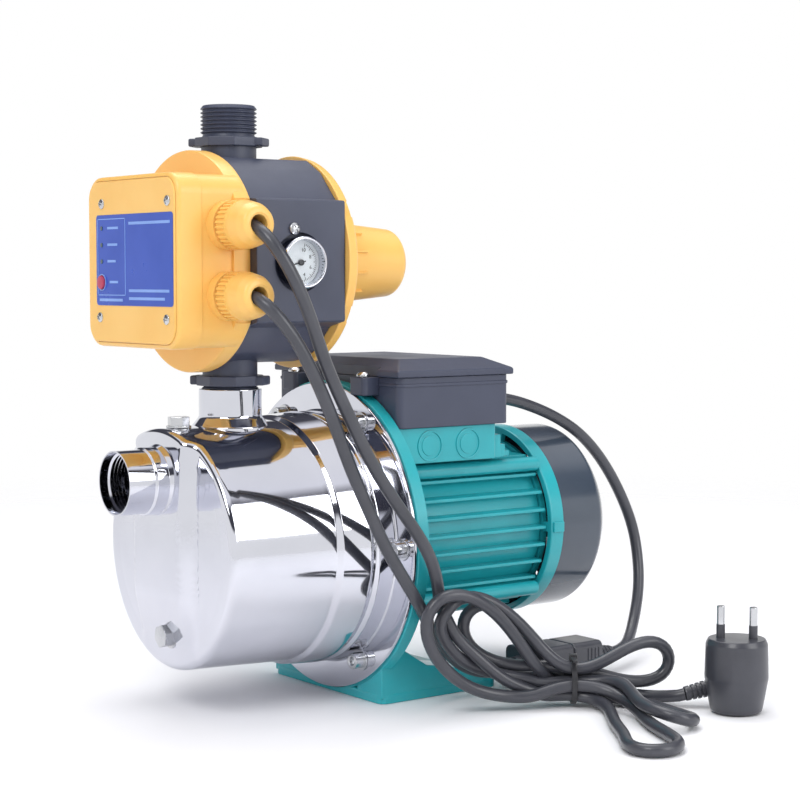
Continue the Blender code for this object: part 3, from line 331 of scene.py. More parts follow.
RED = finish("red plastic", "red_plastic", (0.46, 0.035, 0.095), (0.38, 0.025, 0.075), 90, 1500, 0.3, (0.28, 0.40), bump=0.05)
WHITE = finish("white plastic", "white_plastic", (0.80, 0.80, 0.77), (0.70, 0.70, 0.66), 50, 1500, 0.3, (0.35, 0.5), bump=0.1)
RUBBER = finish("black rubber", "black_rubber", (0.020, 0.020, 0.022), (0.032, 0.032, 0.034), 60, 1500, 0.4, (0.55, 0.75), bump=0.2)
COPPER = finish("copper wire", "copper", (0.72, 0.30, 0.14), (0.48, 0.17, 0.07), 80, 900, 0.5, (0.25, 0.45), bump=0.3, Metallic=1.0)
IRON = finish("laminated iron", "lamination", (0.36, 0.37, 0.39), (0.22, 0.22, 0.23), 70, 1200, 0.5, (0.35, 0.55), bump=0.2, Metallic=1.0)
BRASS = finish("brass", "brass", (0.78, 0.57, 0.23), (0.62, 0.42, 0.15), 60, 900, 0.3, (0.20, 0.35), Metallic=1.0)
RESIN = finish("grey resin", "grey_resin", (0.20, 0.21, 0.22), (0.15, 0.16, 0.17), 60, 1500, 0.4, (0.4, 0.6), bump=0.2)
BOARD = finish("circuit board", "board", (0.03, 0.22, 0.08), (0.02, 0.15, 0.06), 90, 1300, 0.4, (0.3, 0.5), bump=0.1)
NYLON = finish("tie nylon", "tie_nylon", (0.018, 0.018, 0.022), (0.030, 0.030, 0.034), 90, 1500, 0.3, (0.30, 0.45), bump=0.1)
LABEL = finish("blue label film", "slate_plastic", (0.014, 0.070, 0.460), (0.010, 0.058, 0.400), 30, 1200, 0.2, (0.25, 0.38), bump=0.03)
PRINT = finish("pale print", "white_plastic", (0.22, 0.38, 0.80), (0.18, 0.32, 0.72), 60, 1200, 0.3, (0.3, 0.4), bump=0.02)
DIM_LIGHT = finish("unlit lamp", "slate_plastic", (0.07, 0.12, 0.14), (0.05, 0.08, 0.10), 60, 1200, 0.3, (0.15, 0.3), bump=0.02)
DIAL = finish("dial card", "white_plastic", (0.82, 0.84, 0.86), (0.74, 0.76, 0.79), 90, 1500, 0.3, (0.3, 0.45), bump=0.02)
NEEDLE = finish("needle paint", "needle_black", (0.03, 0.03, 0.035), (0.05, 0.05, 0.055), 90, 1500, 0.3, (0.3, 0.4), bump=0.02)
CORD = finish(
    "cord sheath", "cord_rubber", (0.040, 0.042, 0.053), (0.060, 0.062, 0.076), 45, 1500, 0.3, (0.26, 0.40),
    bump=0.15, depth=0.0001, Coat_Weight=0.15, Coat_Roughness=0.2,
)
print("finishes:", len(bpy.data.materials))


# %% Clear glass for the gauge
def clear_glass():
    glass = bpy.data.materials.new("gauge glass")
    glass.use_nodes = True
    glass["slot"] = "gauge_glass"
    shader = glass.node_tree.nodes["Principled BSDF"]
    shader.inputs["Base Color"].default_value = (0.96, 0.98, 0.99, 1)
    shader.inputs["Transmission Weight"].default_value = 1.0
    shader.inputs["IOR"].default_value = 1.05
    smear = glass.node_tree.nodes.new("ShaderNodeTexNoise")
    place = glass.node_tree.nodes.new("ShaderNodeTexCoord")
    level = glass.node_tree.nodes.new("ShaderNodeMapRange")
    smear.inputs["Scale"].default_value = 120
    level.inputs["To Min"].default_value = 0.0
    level.inputs["To Max"].default_value = 0.06
    links = glass.node_tree.links
    links.new(place.outputs["Object"], smear.inputs["Vector"])
    links.new(smear.outputs["Fac"], level.inputs["Value"])
    links.new(level.outputs["Result"], shader.inputs["Roughness"])
    return glass


GLASS = clear_glass()

# %% [markdown]
# ## Camera, floor and light
# Polished steel shows the room more than itself. The sky of this studio is white near the horizon, has
# a dark band above it and a bright top, so the casing gets the crisp light and dark stripes that make
# metal read as metal. The floor is plain and pale.


# %% Camera
def add_camera():
    data = bpy.data.cameras.new("camera")
    data.lens = 85.35
    data.sensor_width = 36
    data.clip_end = 30
    camera = bpy.data.objects.new("camera", data)
    camera.location = (0.96367, -0.70972, 0.25594)
    camera.rotation_euler = (math.radians(90 - 3.70), 0, math.radians(53.15))
    bpy.context.scene.collection.objects.link(camera)
    bpy.context.scene.camera = camera
    return camera


print("camera at", tuple(add_camera().location))


# %% Floor
def add_floor():
    bm = bmesh.new()
    bmesh.ops.create_grid(bm, x_segments=1, y_segments=1, size=12)
    bmesh.ops.translate(bm, verts=bm.verts, vec=(0, 0, -0.0002))
    mesh = bpy.data.meshes.new("floor")
    bm.to_mesh(mesh)
    bm.free()
    floor = bpy.data.objects.new("floor", mesh)
    bpy.context.scene.collection.objects.link(floor)
    paper = bpy.data.materials.new("pale paper")
    paper.use_nodes = True
    shader = paper.node_tree.nodes["Principled BSDF"]
    shader.inputs["Base Color"].default_value = (0.93, 0.93, 0.95, 1)
    shader.inputs["Roughness"].default_value = 0.9
    shader.inputs["Specular IOR Level"].default_value = 0.2
    nodes, links = paper.node_tree.nodes, paper.node_tree.links
    place = nodes.new("ShaderNodeTexCoord")
    reach = nodes.new("ShaderNodeVectorMath")
    reach.operation = "LENGTH"
    fade = nodes.new("ShaderNodeMapRange")
    fade.inputs["From Min"].default_value = 0.35
    fade.inputs["From Max"].default_value = 1.30
    fade.inputs["To Min"].default_value = 1.0
    fade.inputs["To Max"].default_value = 0.0
    links.new(place.outputs["Object"], reach.inputs[0])
    links.new(reach.outputs["Value"], fade.inputs["Value"])
    links.new(fade.outputs["Result"], shader.inputs["Alpha"])
    mesh.materials.append(paper)


add_floor()


# %% Studio sky and lamps
def add_sky():
    world = bpy.data.worlds.new("studio")
    bpy.context.scene.world = world
    world.use_nodes = True
    nodes, links = world.node_tree.nodes, world.node_tree.links
    place = nodes.new("ShaderNodeTexCoord")
    split = nodes.new("ShaderNodeSeparateXYZ")
    ramp = nodes.new("ShaderNodeValToRGB")
    shift = nodes.new("ShaderNodeMapRange")
    shift.inputs["From Min"].default_value = -0.2
    shift.inputs["From Max"].default_value = 1.0
    links.new(place.outputs["Generated"], split.inputs["Vector"])
    links.new(split.outputs["Z"], shift.inputs["Value"])
    links.new(shift.outputs["Result"], ramp.inputs["Fac"])
    links.new(ramp.outputs["Color"], nodes["Background"].inputs["Color"])
    stops = ramp.color_ramp.elements
    stops[0].position = 0.0
    stops[0].color = (1.0, 1.0, 1.0, 1)
    stops[1].position = 1.0
    stops[1].color = (1.0, 1.0, 1.0, 1)
    for position, tone in ((0.40, (1.0, 1.0, 1.0)), (0.46, (0.06, 0.06, 0.075)), (0.68, (0.08, 0.08, 0.10)), (0.76, (0.95, 0.95, 1.0))):
        stop = stops.new(position)
        stop.color = (*tone, 1)
    nodes["Background"].inputs["Strength"].default_value = 1.0


def add_lamp(name, place, target, size, power):
    data = bpy.data.lights.new(name, "AREA")
    data.size = size
    data.energy = power
    lamp = bpy.data.objects.new(name, data)
    lamp.location = place
    lamp.rotation_euler = (Vector(target) - Vector(place)).to_track_quat("-Z", "Y").to_euler()
    bpy.context.scene.collection.objects.link(lamp)


add_sky()
add_lamp("key", (0.9, -1.5, 1.5), (0, 0, 0.15), 0.9, 16)
add_lamp("fill", (1.6, 0.6, 0.9), (0, 0, 0.15), 1.0, 12)
add_lamp("top", (-0.4, 0.2, 2.0), (0, 0, 0.15), 1.2, 15)
bpy.context.scene.view_settings.view_transform = "Standard"
print("sky and three soft lamps are set")

# %% [markdown]
# ## The cords
# Three leads leave the pump. The mains lead comes out of the upper gland, is folded into a tied hank
# beside the foot, and ends in a plug. A short lead joins the lower gland to a coupling, and another
# joins that coupling to the terminal box. Each is one smooth curve through listed points, so
# that its length is real and it lies where such a lead would fall.


# %% Smooth a route
def smooth_route(route, spacing):
    """Points a fixed distance apart on one smooth curve through the route's points."""
    points = [Vector(point) for point in route]
    tangents = []
    for i in range(len(points)):
        before = points[max(i - 1, 0)]
        after = points[min(i + 1, len(points) - 1)]
        tangents.append((after - before).normalized())
    fine = [points[0]]
    for i in range(len(points) - 1):
        reach = (points[i + 1] - points[i]).length / 3
        handles = points[i] + tangents[i] * reach, points[i + 1] - tangents[i + 1] * reach
        fine += interpolate_bezier(points[i], handles[0], handles[1], points[i + 1], 12)[1:]
    lengths = [0.0]
    for i in range(1, len(fine)):
        lengths.append(lengths[-1] + (fine[i] - fine[i - 1]).length)
    count = max(2, round(lengths[-1] / spacing))
    result = []
    k = 0
    for i in range(count + 1):
        wanted = lengths[-1] * i / count
        while k < len(fine) - 2 and lengths[k + 1] < wanted:
            k += 1
        span = lengths[k + 1] - lengths[k]
        result.append(fine[k].lerp(fine[k + 1], (wanted - lengths[k]) / span))
    return result, lengths[-1]


# %% Keep the strands apart
def keep_apart(points):
    """Pushes strands of one cord away from each other where they would run through one another."""
    spots = np.array([tuple(p) for p in points])
    gap = spots[:, None] - spots[None]
    dist = np.sqrt((gap**2).sum(2))
    order = np.abs(np.subtract.outer(np.arange(len(spots)), np.arange(len(spots))))
    close = (order > 8) & (dist < 1.03 * CORD_D) & (dist > 0)
    push = np.where(close, (1.03 * CORD_D - dist) / np.maximum(dist, 1e-6), 0.0)
    moved = spots + 0.5 * (gap * push[..., None]).sum(1) / np.maximum(close.sum(1), 1)[:, None]
    moved[:, 2] = np.maximum(moved[:, 2], CORD_D / 2 + 0.0002)
    moved[:2] = spots[:2]
    moved[-2:] = spots[-2:]
    return [Vector(spot) for spot in moved]


# %% Lay one cord
def lay_cord(name, route, relax=2):
    """A round cord through a route. A few rounds of easing take the last unevenness out of its bends."""
    points, length = smooth_route(route, 0.004)
    for _ in range(relax * 8):
        eased = [points[0], points[1]]
        for i in range(2, len(points) - 2):
            middle = (points[i - 1] + points[i + 1]) / 2
            spot = points[i].lerp(middle, 0.5)
            spot.z = max(spot.z, CORD_D / 2 + 0.0002)
            eased.append(spot)
        points = keep_apart(eased + points[-2:])
    length = sum((b - a).length for a, b in zip(points, points[1:]))
    curve = bpy.data.curves.new(name, "CURVE")
    curve.dimensions = "3D"
    curve.bevel_depth = CORD_D / 2
    curve.bevel_resolution = 4
    curve.use_fill_caps = True
    spline = curve.splines.new("POLY")
    spline.points.add(len(points) - 1)
    for place, point in zip(points, spline.points):
        point.co = (*place, 1.0)
    spline.use_smooth = True
    curve.materials.append(CORD)
    piece = bpy.data.objects.new(name, curve)
    bpy.context.scene.collection.objects.link(piece)
    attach(piece, "root")
    print(f"{name}: {length:.3f} m in {len(points)} points")
    return piece, length, points


# %% Routes
# The neck of the hank holds seven passes of the cord, in rows of two, three and two.
TIE = Vector((0.128, 0.046, 0.0147))
TIE_AXIS = Vector((0.6, 0.8, 0.0))
TIE_SIDE = Vector((0.8, -0.6, 0.0))
ROW = 0.0068
SEAT = 0.0077
SEATS = [(0.5, -1), (1.0, 0), (-0.5, -1), (0.0, 0), (0.5, 1), (-0.5, 1), (-1.0, 0)]


def pass_tie(index):
    """Two points of one pass through the tie, in the direction that the cord runs."""
    across, level = SEATS[index]
    seat = TIE + TIE_SIDE * (across * SEAT) + Vector((0, 0, level * ROW))
    ends = [seat - TIE_AXIS * 0.008, seat + TIE_AXIS * 0.008]
    return [tuple(p) for p in (ends if index % 2 == 0 else ends[::-1])]


MAINS_DROP = [
    (0.0720, -0.1470, 0.2850),
    (0.0860, -0.1480, 0.2845),
    (0.0950, -0.1455, 0.2755),
    (0.0980, -0.1380, 0.2640),
    (0.0990, -0.1290, 0.2470),
    (0.1000, -0.1210, 0.2270),
    (0.1000, -0.1150, 0.2100),
    (0.1010, -0.0990, 0.1790),
    (0.1020, -0.0840, 0.1510),
    (0.1040, -0.0660, 0.1250),
    (0.1045, -0.0500, 0.1050),
    (0.1035, -0.0395, 0.0880),
]
MAINS_ROUTE = MAINS_DROP + [
    (0.1000, -0.0330, 0.0700),
    (0.0985, -0.0270, 0.0520),
    (0.1010, -0.0160, 0.0360),
    (0.1080, 0.0020, 0.0210),
    (0.1170, 0.0210, 0.0110),
    *pass_tie(0),
    (0.1410, 0.0540, 0.0055),
    (0.1480, 0.0535, 0.0040),
    (0.1570, 0.0480, 0.0039),
    (0.1700, 0.0380, 0.0039),
    (0.1900, 0.0220, 0.0039),
    (0.2130, 0.0080, 0.0039),
    (0.2270, -0.0050, 0.0039),
    (0.2355, -0.0105, 0.0039),
    (0.2462, -0.0085, 0.0039),
    (0.2522, 0.0030, 0.0039),
    (0.2498, 0.0160, 0.0039),
    (0.2385, 0.0235, 0.0039),
    (0.2230, 0.0300, 0.0039),
    (0.1980, 0.0400, 0.0039),
    (0.1760, 0.0540, 0.0045),
    (0.1560, 0.0600, 0.0085),
    (0.1490, 0.0580, 0.0110),
    (0.1440, 0.0530, 0.0130),
    *pass_tie(1),
    (0.1225, 0.0230, 0.0085),
    (0.1150, 0.0020, 0.0090),
    (0.1090, -0.0160, 0.0140),
    (0.1065, -0.0340, 0.0270),
    (0.1050, -0.0460, 0.0430),
    (0.1050, -0.0500, 0.0590),
    (0.1075, -0.0440, 0.0710),
    (0.1100, -0.0310, 0.0745),
    (0.1130, -0.0160, 0.0690),
    (0.1150, 0.0010, 0.0560),
    (0.1160, 0.0160, 0.0380),
    (0.1185, 0.0290, 0.0190),
    *pass_tie(2),
    (0.1370, 0.0640, 0.0052),
    (0.1450, 0.0700, 0.0039),
    (0.1560, 0.0730, 0.0039),
    (0.1720, 0.0720, 0.0039),
    (0.1880, 0.0690, 0.0039),
    (0.2030, 0.0690, 0.0039),
    (0.2150, 0.0640, 0.0045),
    (0.2200, 0.0520, 0.0065),
    (0.2120, 0.0410, 0.0110),
    (0.1970, 0.0410, 0.0118),
    (0.1730, 0.0530, 0.0125),
    (0.1580, 0.0615, 0.0165),
    (0.1490, 0.0640, 0.0175),
    (0.1420, 0.0610, 0.0160),
    (0.1370, 0.0570, 0.0150),
    *pass_tie(3),
    (0.1150, 0.0240, 0.0140),
    (0.1060, 0.0060, 0.0200),
    (0.1010, -0.0120, 0.0290),
    (0.0985, -0.0270, 0.0400),
    (0.0985, -0.0350, 0.0520),
    (0.1000, -0.0330, 0.0640),
    (0.1030, -0.0230, 0.0710),
    (0.1065, -0.0080, 0.0690),
    (0.1110, 0.0080, 0.0590),
    (0.1165, 0.0240, 0.0420),
    (0.1215, 0.0350, 0.0270),
    *pass_tie(4),
    (0.1397, 0.0590, 0.0260),
    (0.1430, 0.0680, 0.0320),
    (0.1460, 0.0790, 0.0365),
    (0.1490, 0.0890, 0.0395),
    (0.1525, 0.0990, 0.0370),
    (0.1540, 0.1050, 0.0250),
    (0.1515, 0.0990, 0.0125),
    (0.1465, 0.0890, 0.0118),
    (0.1425, 0.0795, 0.0118),
    (0.1390, 0.0715, 0.0135),
    (0.1340, 0.0635, 0.0178),
    *pass_tie(5),
    (0.1130, 0.0300, 0.0230),
    (0.1040, 0.0150, 0.0230),
    (0.0970, 0.0010, 0.0290),
    (0.0935, -0.0110, 0.0400),
    (0.0945, -0.0150, 0.0530),
    (0.0985, -0.0080, 0.0640),
    (0.1035, 0.0050, 0.0640),
    (0.1080, 0.0190, 0.0500),
    (0.1110, 0.0310, 0.0320),
    *pass_tie(6),
    (0.1300, 0.0650, 0.0090),
    (0.1350, 0.0760, 0.0048),
    (0.1430, 0.0850, 0.0039),
    (0.1530, 0.0885, 0.0039),
    (0.1610, 0.0905, 0.0045),
    (0.1660, 0.0935, 0.0060),
    (0.1700, 0.0978, 0.0075),
]
COUPLING_ROUTE = [
    (0.0720, -0.1470, 0.2455),
    (0.0850, -0.1490, 0.2455),
    (0.0930, -0.1450, 0.2390),
    (0.0960, -0.1350, 0.2270),
    (0.0975, -0.1250, 0.2110),
    (0.0980, -0.1100, 0.1820),
    (0.0985, -0.0960, 0.1490),
    (0.0990, -0.0830, 0.1230),
    (0.0990, -0.0720, 0.1020),
    (0.0985, -0.0560, 0.0790),
    (0.0945, -0.0420, 0.0620),
    (0.0880, -0.0330, 0.0530),
    (0.0790, -0.0190, 0.0400),
    (0.0725, -0.0040, 0.0270),
    (0.0704, 0.0090, 0.0180),
    (0.0708, 0.0200, 0.0138),
    (0.0710, 0.0300, 0.0130),
]
MOTOR_ROUTE = [
    (0.0260, 0.0645, 0.1790),
    (0.0265, 0.0740, 0.1785),
    (0.0270, 0.0900, 0.1750),
    (0.0280, 0.1050, 0.1700),
    (0.0280, 0.1200, 0.1640),
    (0.0280, 0.1400, 0.1530),
    (0.0280, 0.1580, 0.1370),
    (0.0280, 0.1730, 0.1180),
    (0.0290, 0.1840, 0.0980),
    (0.0310, 0.1890, 0.0820),
    (0.0340, 0.1890, 0.0680),
    (0.0390, 0.1860, 0.0540),
    (0.0450, 0.1790, 0.0400),
    (0.0510, 0.1700, 0.0280),
    (0.0590, 0.1585, 0.0180),
    (0.0675, 0.1450, 0.0135),
    (0.0710, 0.1315, 0.0130),
]

mains, mains_length, mains_points = lay_cord("mains_lead", MAINS_ROUTE)
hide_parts("mains_cord", "cord_hank", "plug_cord")
coupling, coupling_length, _ = lay_cord("coupling_lead", COUPLING_ROUTE, relax=1)
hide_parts("coupling_cord")
motor_lead, motor_length, _ = lay_cord("motor_lead", MOTOR_ROUTE, relax=1)
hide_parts("motor_cord")
print("free cord:", round(mains_length + coupling_length + motor_length, 3), "m")


# %% [markdown]
# ## More shape helpers
# Moulded covers are mostly boxes whose upright corners are round and whose front rim is softer. Ribs and
# flats come from an outline pushed along one axis. The box helper returns the corners that it made.


# %% Soft boxes and pushed outlines
def soft_box(bm, low, high, axis, corner, low_edge=0.0, high_edge=0.0, segments=5):
    """A box with round corners along one axis and its two end rims rounded separately."""
    low, high = Vector(low), Vector(high)
    k = "XYZ".index(axis)
    made = set(block(bm, low, high, corner, segments, axis=axis))
    for level, width in ((low[k], low_edge), (high[k], high_edge)):
        if not width:
            continue
        rim = set()
        for vert in made:
            if abs(vert.co[k] - level) < 1e-6:
                rim |= {e for e in vert.link_edges if abs(e.other_vert(vert).co[k] - level) < 1e-6}
        result = bmesh.ops.bevel(
            bm, geom=list(rim), offset=width, offset_type="OFFSET", segments=3, profile=0.5, affect="EDGES", material=-1
        )
        made = {vert for vert in made if vert.is_valid} | set(result["verts"])
    return made


def prism(bm, outline, axis, start, end, edge=0.0):
    """Pushes a flat outline along one axis. The outline holds the two other coordinates in XYZ order."""
    k = "XYZ".index(axis)
    others = [i for i in range(3) if i != k]
    verts = []
    for first, second in outline:
        spot = Vector((0, 0, 0))
        spot[others[0]] = first
        spot[others[1]] = second
        spot[k] = start
        verts.append(bm.verts.new(spot))
    face = bm.faces.new(verts)
    moved = bmesh.ops.extrude_face_region(bm, geom=[face])["geom"]
    tops = [item for item in moved if isinstance(item, bmesh.types.BMVert)]
    bmesh.ops.translate(bm, verts=tops, vec=AXES[axis] * (end - start))
    if edge:
        rims = set()
        for group in (verts, tops):
            inside = set(group)
            for vert in group:
                rims |= {e for e in vert.link_edges if e.other_vert(vert) in inside}
        bmesh.ops.bevel(
            bm, geom=list(rims), offset=edge, offset_type="OFFSET", segments=2, profile=0.5, affect="EDGES", material=-1
        )


def drill(axis, centre, start, end, radius, steps=48):
    """A cutter for a round hole."""
    bm = bmesh.new()
    spun(bm, [(0, start, 0), (radius, start, 0), (radius, end, 0), (0, end, 0)], axis, centre, steps)
    return bm


def box_cutter(low, high, width=0.0, axis=None, turn=None):
    bm = bmesh.new()
    block(bm, low, high, width, 3, turn, axis)
    return bm


def smooth(value):
    value = min(max(value, 0.0), 1.0)
    return value * value * (3 - 2 * value)


def polar(radius, degrees, y=0.0):
    """A point on a circle round the shaft, counted from +X towards +Z."""
    angle = math.radians(degrees)
    return Vector((radius * math.cos(angle), y, SHAFT_Z + radius * math.sin(angle)))


# %% [markdown]
# ## The steel casing
# The casing is one deep-drawn stainless shell. Its side has two rolled steps near the flange, and the
# middle of its front is pressed forward as a band that carries the suction port. The band is made by
# moving the spun shell's own points, so its edges stay as soft as pressed steel.


# %% Casing shell
def make_casing():
    axis = (0, 0, SHAFT_Z)
    rings = [0.002 * k for k in range(31)]
    dome = 0.6
    bm = bmesh.new()
    side = [
        (0.0750, -0.0456, 0),
        (0.0942, -0.0456, 0.0004),
        (0.0942, -0.0478, 0.0006),
        (0.0770, -0.0478, 0.0018),
        (0.0770, -0.0596, 0.0020),
        (0.0755, -0.0612, 0.0012),
        (0.0755, -0.0634, 0.0012),
        (0.0773, -0.0654, 0.0022),
        (0.0757, -0.0848, 0.0026),
        (0.0735, -0.0874, 0.0018),
    ]
    drum = [(0.0735 - 0.0023 * k / 30, -0.0895 - 0.0580 * k / 30, 0) for k in range(31)]
    front = [(0.0712, -0.1567, 0.0090)] + [(r, -0.1590 + dome * r * r, 0) for r in reversed(rings)]
    spun(bm, side + drum + front, "Y", axis, steps=288, segments=6)
    wall = 0.0018
    inner = [
        (0.0750, -0.0456, 0),
        (0.0750, -0.0600, 0.001),
        (0.0738, -0.0616, 0.001),
        (0.0738, -0.0850, 0.001),
        (0.0716, -0.0880, 0.001),
    ]
    inner += [(r - wall, y, 0) for r, y, _ in drum]
    inner += [(0.0694, -0.1549, 0.0072)] + [(r, -0.1590 + wall + dome * r * r, 0) for r in reversed(rings)]
    spun(bm, inner, "Y", axis, steps=288, segments=4)
    for vert in bm.verts:
        x, y, z = vert.co
        across = smooth((0.0335 - abs(x)) / 0.0080)
        up = smooth((z - 0.030) / 0.045)
        ahead = smooth((-0.122 - y) / 0.026)
        vert.co.y = y - BAND_RISE * across * up * ahead
    cutters = [
        drill("Y", (0, 0, SUCTION_Z), -0.21, -0.1475, 0.0175),
        drill("Z", (0, OUTLET_Y, 0), 0.150, 0.20, 0.0175),
        drill("Z", (0, -0.1494, 0), 0.155, 0.18, 0.0046, 24),
        drill("Y", (0.004, 0, 0.047), -0.18, -0.150, 0.0046, 24),
    ]
    for k in range(6):
        cutters.append(drill("Y", polar(0.083, 60 * k), -0.06, -0.04, 0.0033, 24))
    return make("casing_shell", bm, STEEL, replaces=["pump_casing"], sharp=50, cutters=cutters)


make_casing()


# %% [markdown]
# The suction port is a thick tube welded to the band, with a cut pipe thread inside. The outlet tube
# rises from the top and flares where it meets the shell.


# %% Threads and ports
def thread_outline(radius, depth, start, end, pitch=THREAD_PITCH):
    """Ridges and valleys between two heights, as outline points."""
    points = []
    step = pitch if end > start else -pitch
    for k in range(int(abs(end - start) / pitch)):
        at = start + k * step
        points += [(radius, at, 0), (radius, at + step * 0.14, 0)]
        points += [(radius - depth, at + step * 0.50, 0), (radius - depth, at + step * 0.64, 0)]
    return points


def make_ports():
    bm = bmesh.new()
    outer = [
        (0.0188, SUCTION_END, 0.0007),
        (0.0188, -0.1755, 0.0006),
        (0.0198, -0.1745, 0.0010),
        (0.0198, -0.1668, 0.0010),
        (0.0212, -0.1640, 0.001),
        (0.0212, -0.1600, 0),
        (0.0150, -0.1600, 0),
    ]
    bore = thread_outline(PORT_THREAD_R, -0.0011, -0.1605, -0.1895)
    inner = [(0.0177 if r > PORT_THREAD_R else 0.0163, y, 0) for r, y, _ in bore]
    spun(bm, outer + inner + [(0.0179, SUCTION_END, 0.0004)], "Y", (0, 0, SUCTION_Z), 96, closed=True)
    make("suction_port", bm, STEEL, sharp=45)

    bm = bmesh.new()
    tube = [
        (0.0172, 0.1900, 0.0003),
        (0.0187, 0.1900, 0.0006),
        (0.0187, 0.1735, 0.0040),
        (0.0232, 0.1678, 0.0020),
        (0.0232, 0.1640, 0),
        (0.0172, 0.1640, 0),
    ]
    spun(bm, tube, "Z", (0, OUTLET_Y, 0), 96, closed=True)
    make("outlet_port", bm, STEEL, sharp=45)


make_ports()


# %% Plugs and flange screws
def make_plugs():
    top = 0.1686
    bm = bmesh.new()
    disc(bm, "Z", (0, -0.1494, 0), top - 0.0004, top + 0.0008, 0.0074)
    hex_form(bm, "Z", (0, -0.1494, 0), top + 0.0004, top + 0.0060, 0.0115, turn=0.3)
    disc(bm, "Z", (0, -0.1494, 0), top - 0.0055, top, 0.0044)
    make("priming_cap", bm, ZINC, replaces=["priming_plug"])
    front = -0.1580
    bm = bmesh.new()
    disc(bm, "Y", (0.004, 0, 0.047), front - 0.0008, front + 0.0012, 0.0078)
    hex_form(bm, "Y", (0.004, 0, 0.047), front - 0.0074, front, 0.0120, turn=0.2)
    disc(bm, "Y", (0.004, 0, 0.047), front, front + 0.005, 0.0044)
    make("drain_cap", bm, ZINC, replaces=["drain_plug"])


def make_flange_screws():
    """Six socket-head screws, each on a washer."""
    for k in range(6):
        spot = polar(0.083, 60 * k)
        bm = bmesh.new()
        spun(bm, [(0, -0.0405, 0), (0.0028, -0.0405, 0), (0.0028, -0.0485, 0), (0, -0.0485, 0)], "Y", spot, 24)
        disc(bm, "Y", spot, -0.0490, -0.0479, 0.0066)
        head = [
            (0, -0.0488, 0),
            (0.0049, -0.0488, 0),
            (0.0049, -0.0552, 0.0006),
            (0.0030, -0.0552, 0.0003),
            (0.0026, -0.0548, 0),
            (0.0026, -0.0522, 0),
            (0, -0.0522, 0),
        ]
        spun(bm, head, "Y", spot, 6 * 6, segments=2)
        for vert in bm.verts:
            if vert.co.y > -0.0549 and vert.co.y < -0.0515:
                away = vert.co - Vector((spot.x, vert.co.y, spot.z))
                if 0.001 < away.length < 0.0027:
                    turn = math.atan2(away.z, away.x) % (math.pi / 3) - math.pi / 6
                    vert.co = vert.co - away + away * (math.cos(math.pi / 6) / math.cos(turn))
        make(f"flange_screw_{k + 1}", bm, ZINC, replaces=[f"flange_bolt_{k + 1}"])


make_plugs()
make_flange_screws()

# %% [markdown]
# ## Bracket, foot and motor
# The bracket and the motor frame are aluminium castings under thick teal enamel. Castings have draft and
# no sharp edges, so every rib here has a rounded crest.


# %% Bracket and foot
def make_bracket():
    axis = (0, 0, SHAFT_Z)
    bm = bmesh.new()
    outline = [
        (0.0955, -0.0375, 0.0012),
        (0.0955, -0.0453, 0.0006),
        (0.0075, -0.0453, 0.0003),
        (0.0075, -0.0362, 0),
        (0.0163, -0.0362, 0),
        (0.0163, -0.0255, 0),
        (0.0220, -0.0255, 0.001),
        (0.0240, -0.0375, 0.002),
    ]
    spun(bm, outline, "Y", axis, 128, closed=True)
    holes = [drill("Y", polar(0.083, 60 * k), -0.06, -0.03, 0.0033, 24) for k in range(6)]
    make("bracket_flange", bm, TEAL, replaces=["motor_bracket"], cutters=holes)

    bm = bmesh.new()
    soft_box(bm, (-0.0588, -0.0453, 0), (0.0588, 0.0453, 0.006), "Z", 0.006, 0.0004, 0.0015)
    holes = []
    for side in (-1, 1):
        for y in (0.012, 0.034):
            holes.append(drill("Z", (side * 0.0455, y, 0), -0.01, 0.02, 0.0036, 32))
    make("foot_plate", bm, TEAL, cutters=holes)

    bm = bmesh.new()
    for side in (-1, 1):
        low, high = sorted((side * 0.0583, side * 0.0323))
        profile = [
            (-0.0449, 0.003),
            (0.0400, 0.003),
            (0.0400, 0.0105),
            (-0.0100, 0.0200),
            (-0.0385, 0.0380),
            (-0.0449, 0.0520),
        ]
        prism(bm, profile, "X", low, high, 0.0014)
    holes = []
    for side in (-1, 1):
        for y in (0.012, 0.034):
            holes.append(drill("Z", (side * 0.0455, y, 0), -0.01, 0.05, 0.0036, 32))
    make("foot_legs", bm, TEAL, sharp=30, cutters=holes)


make_bracket()


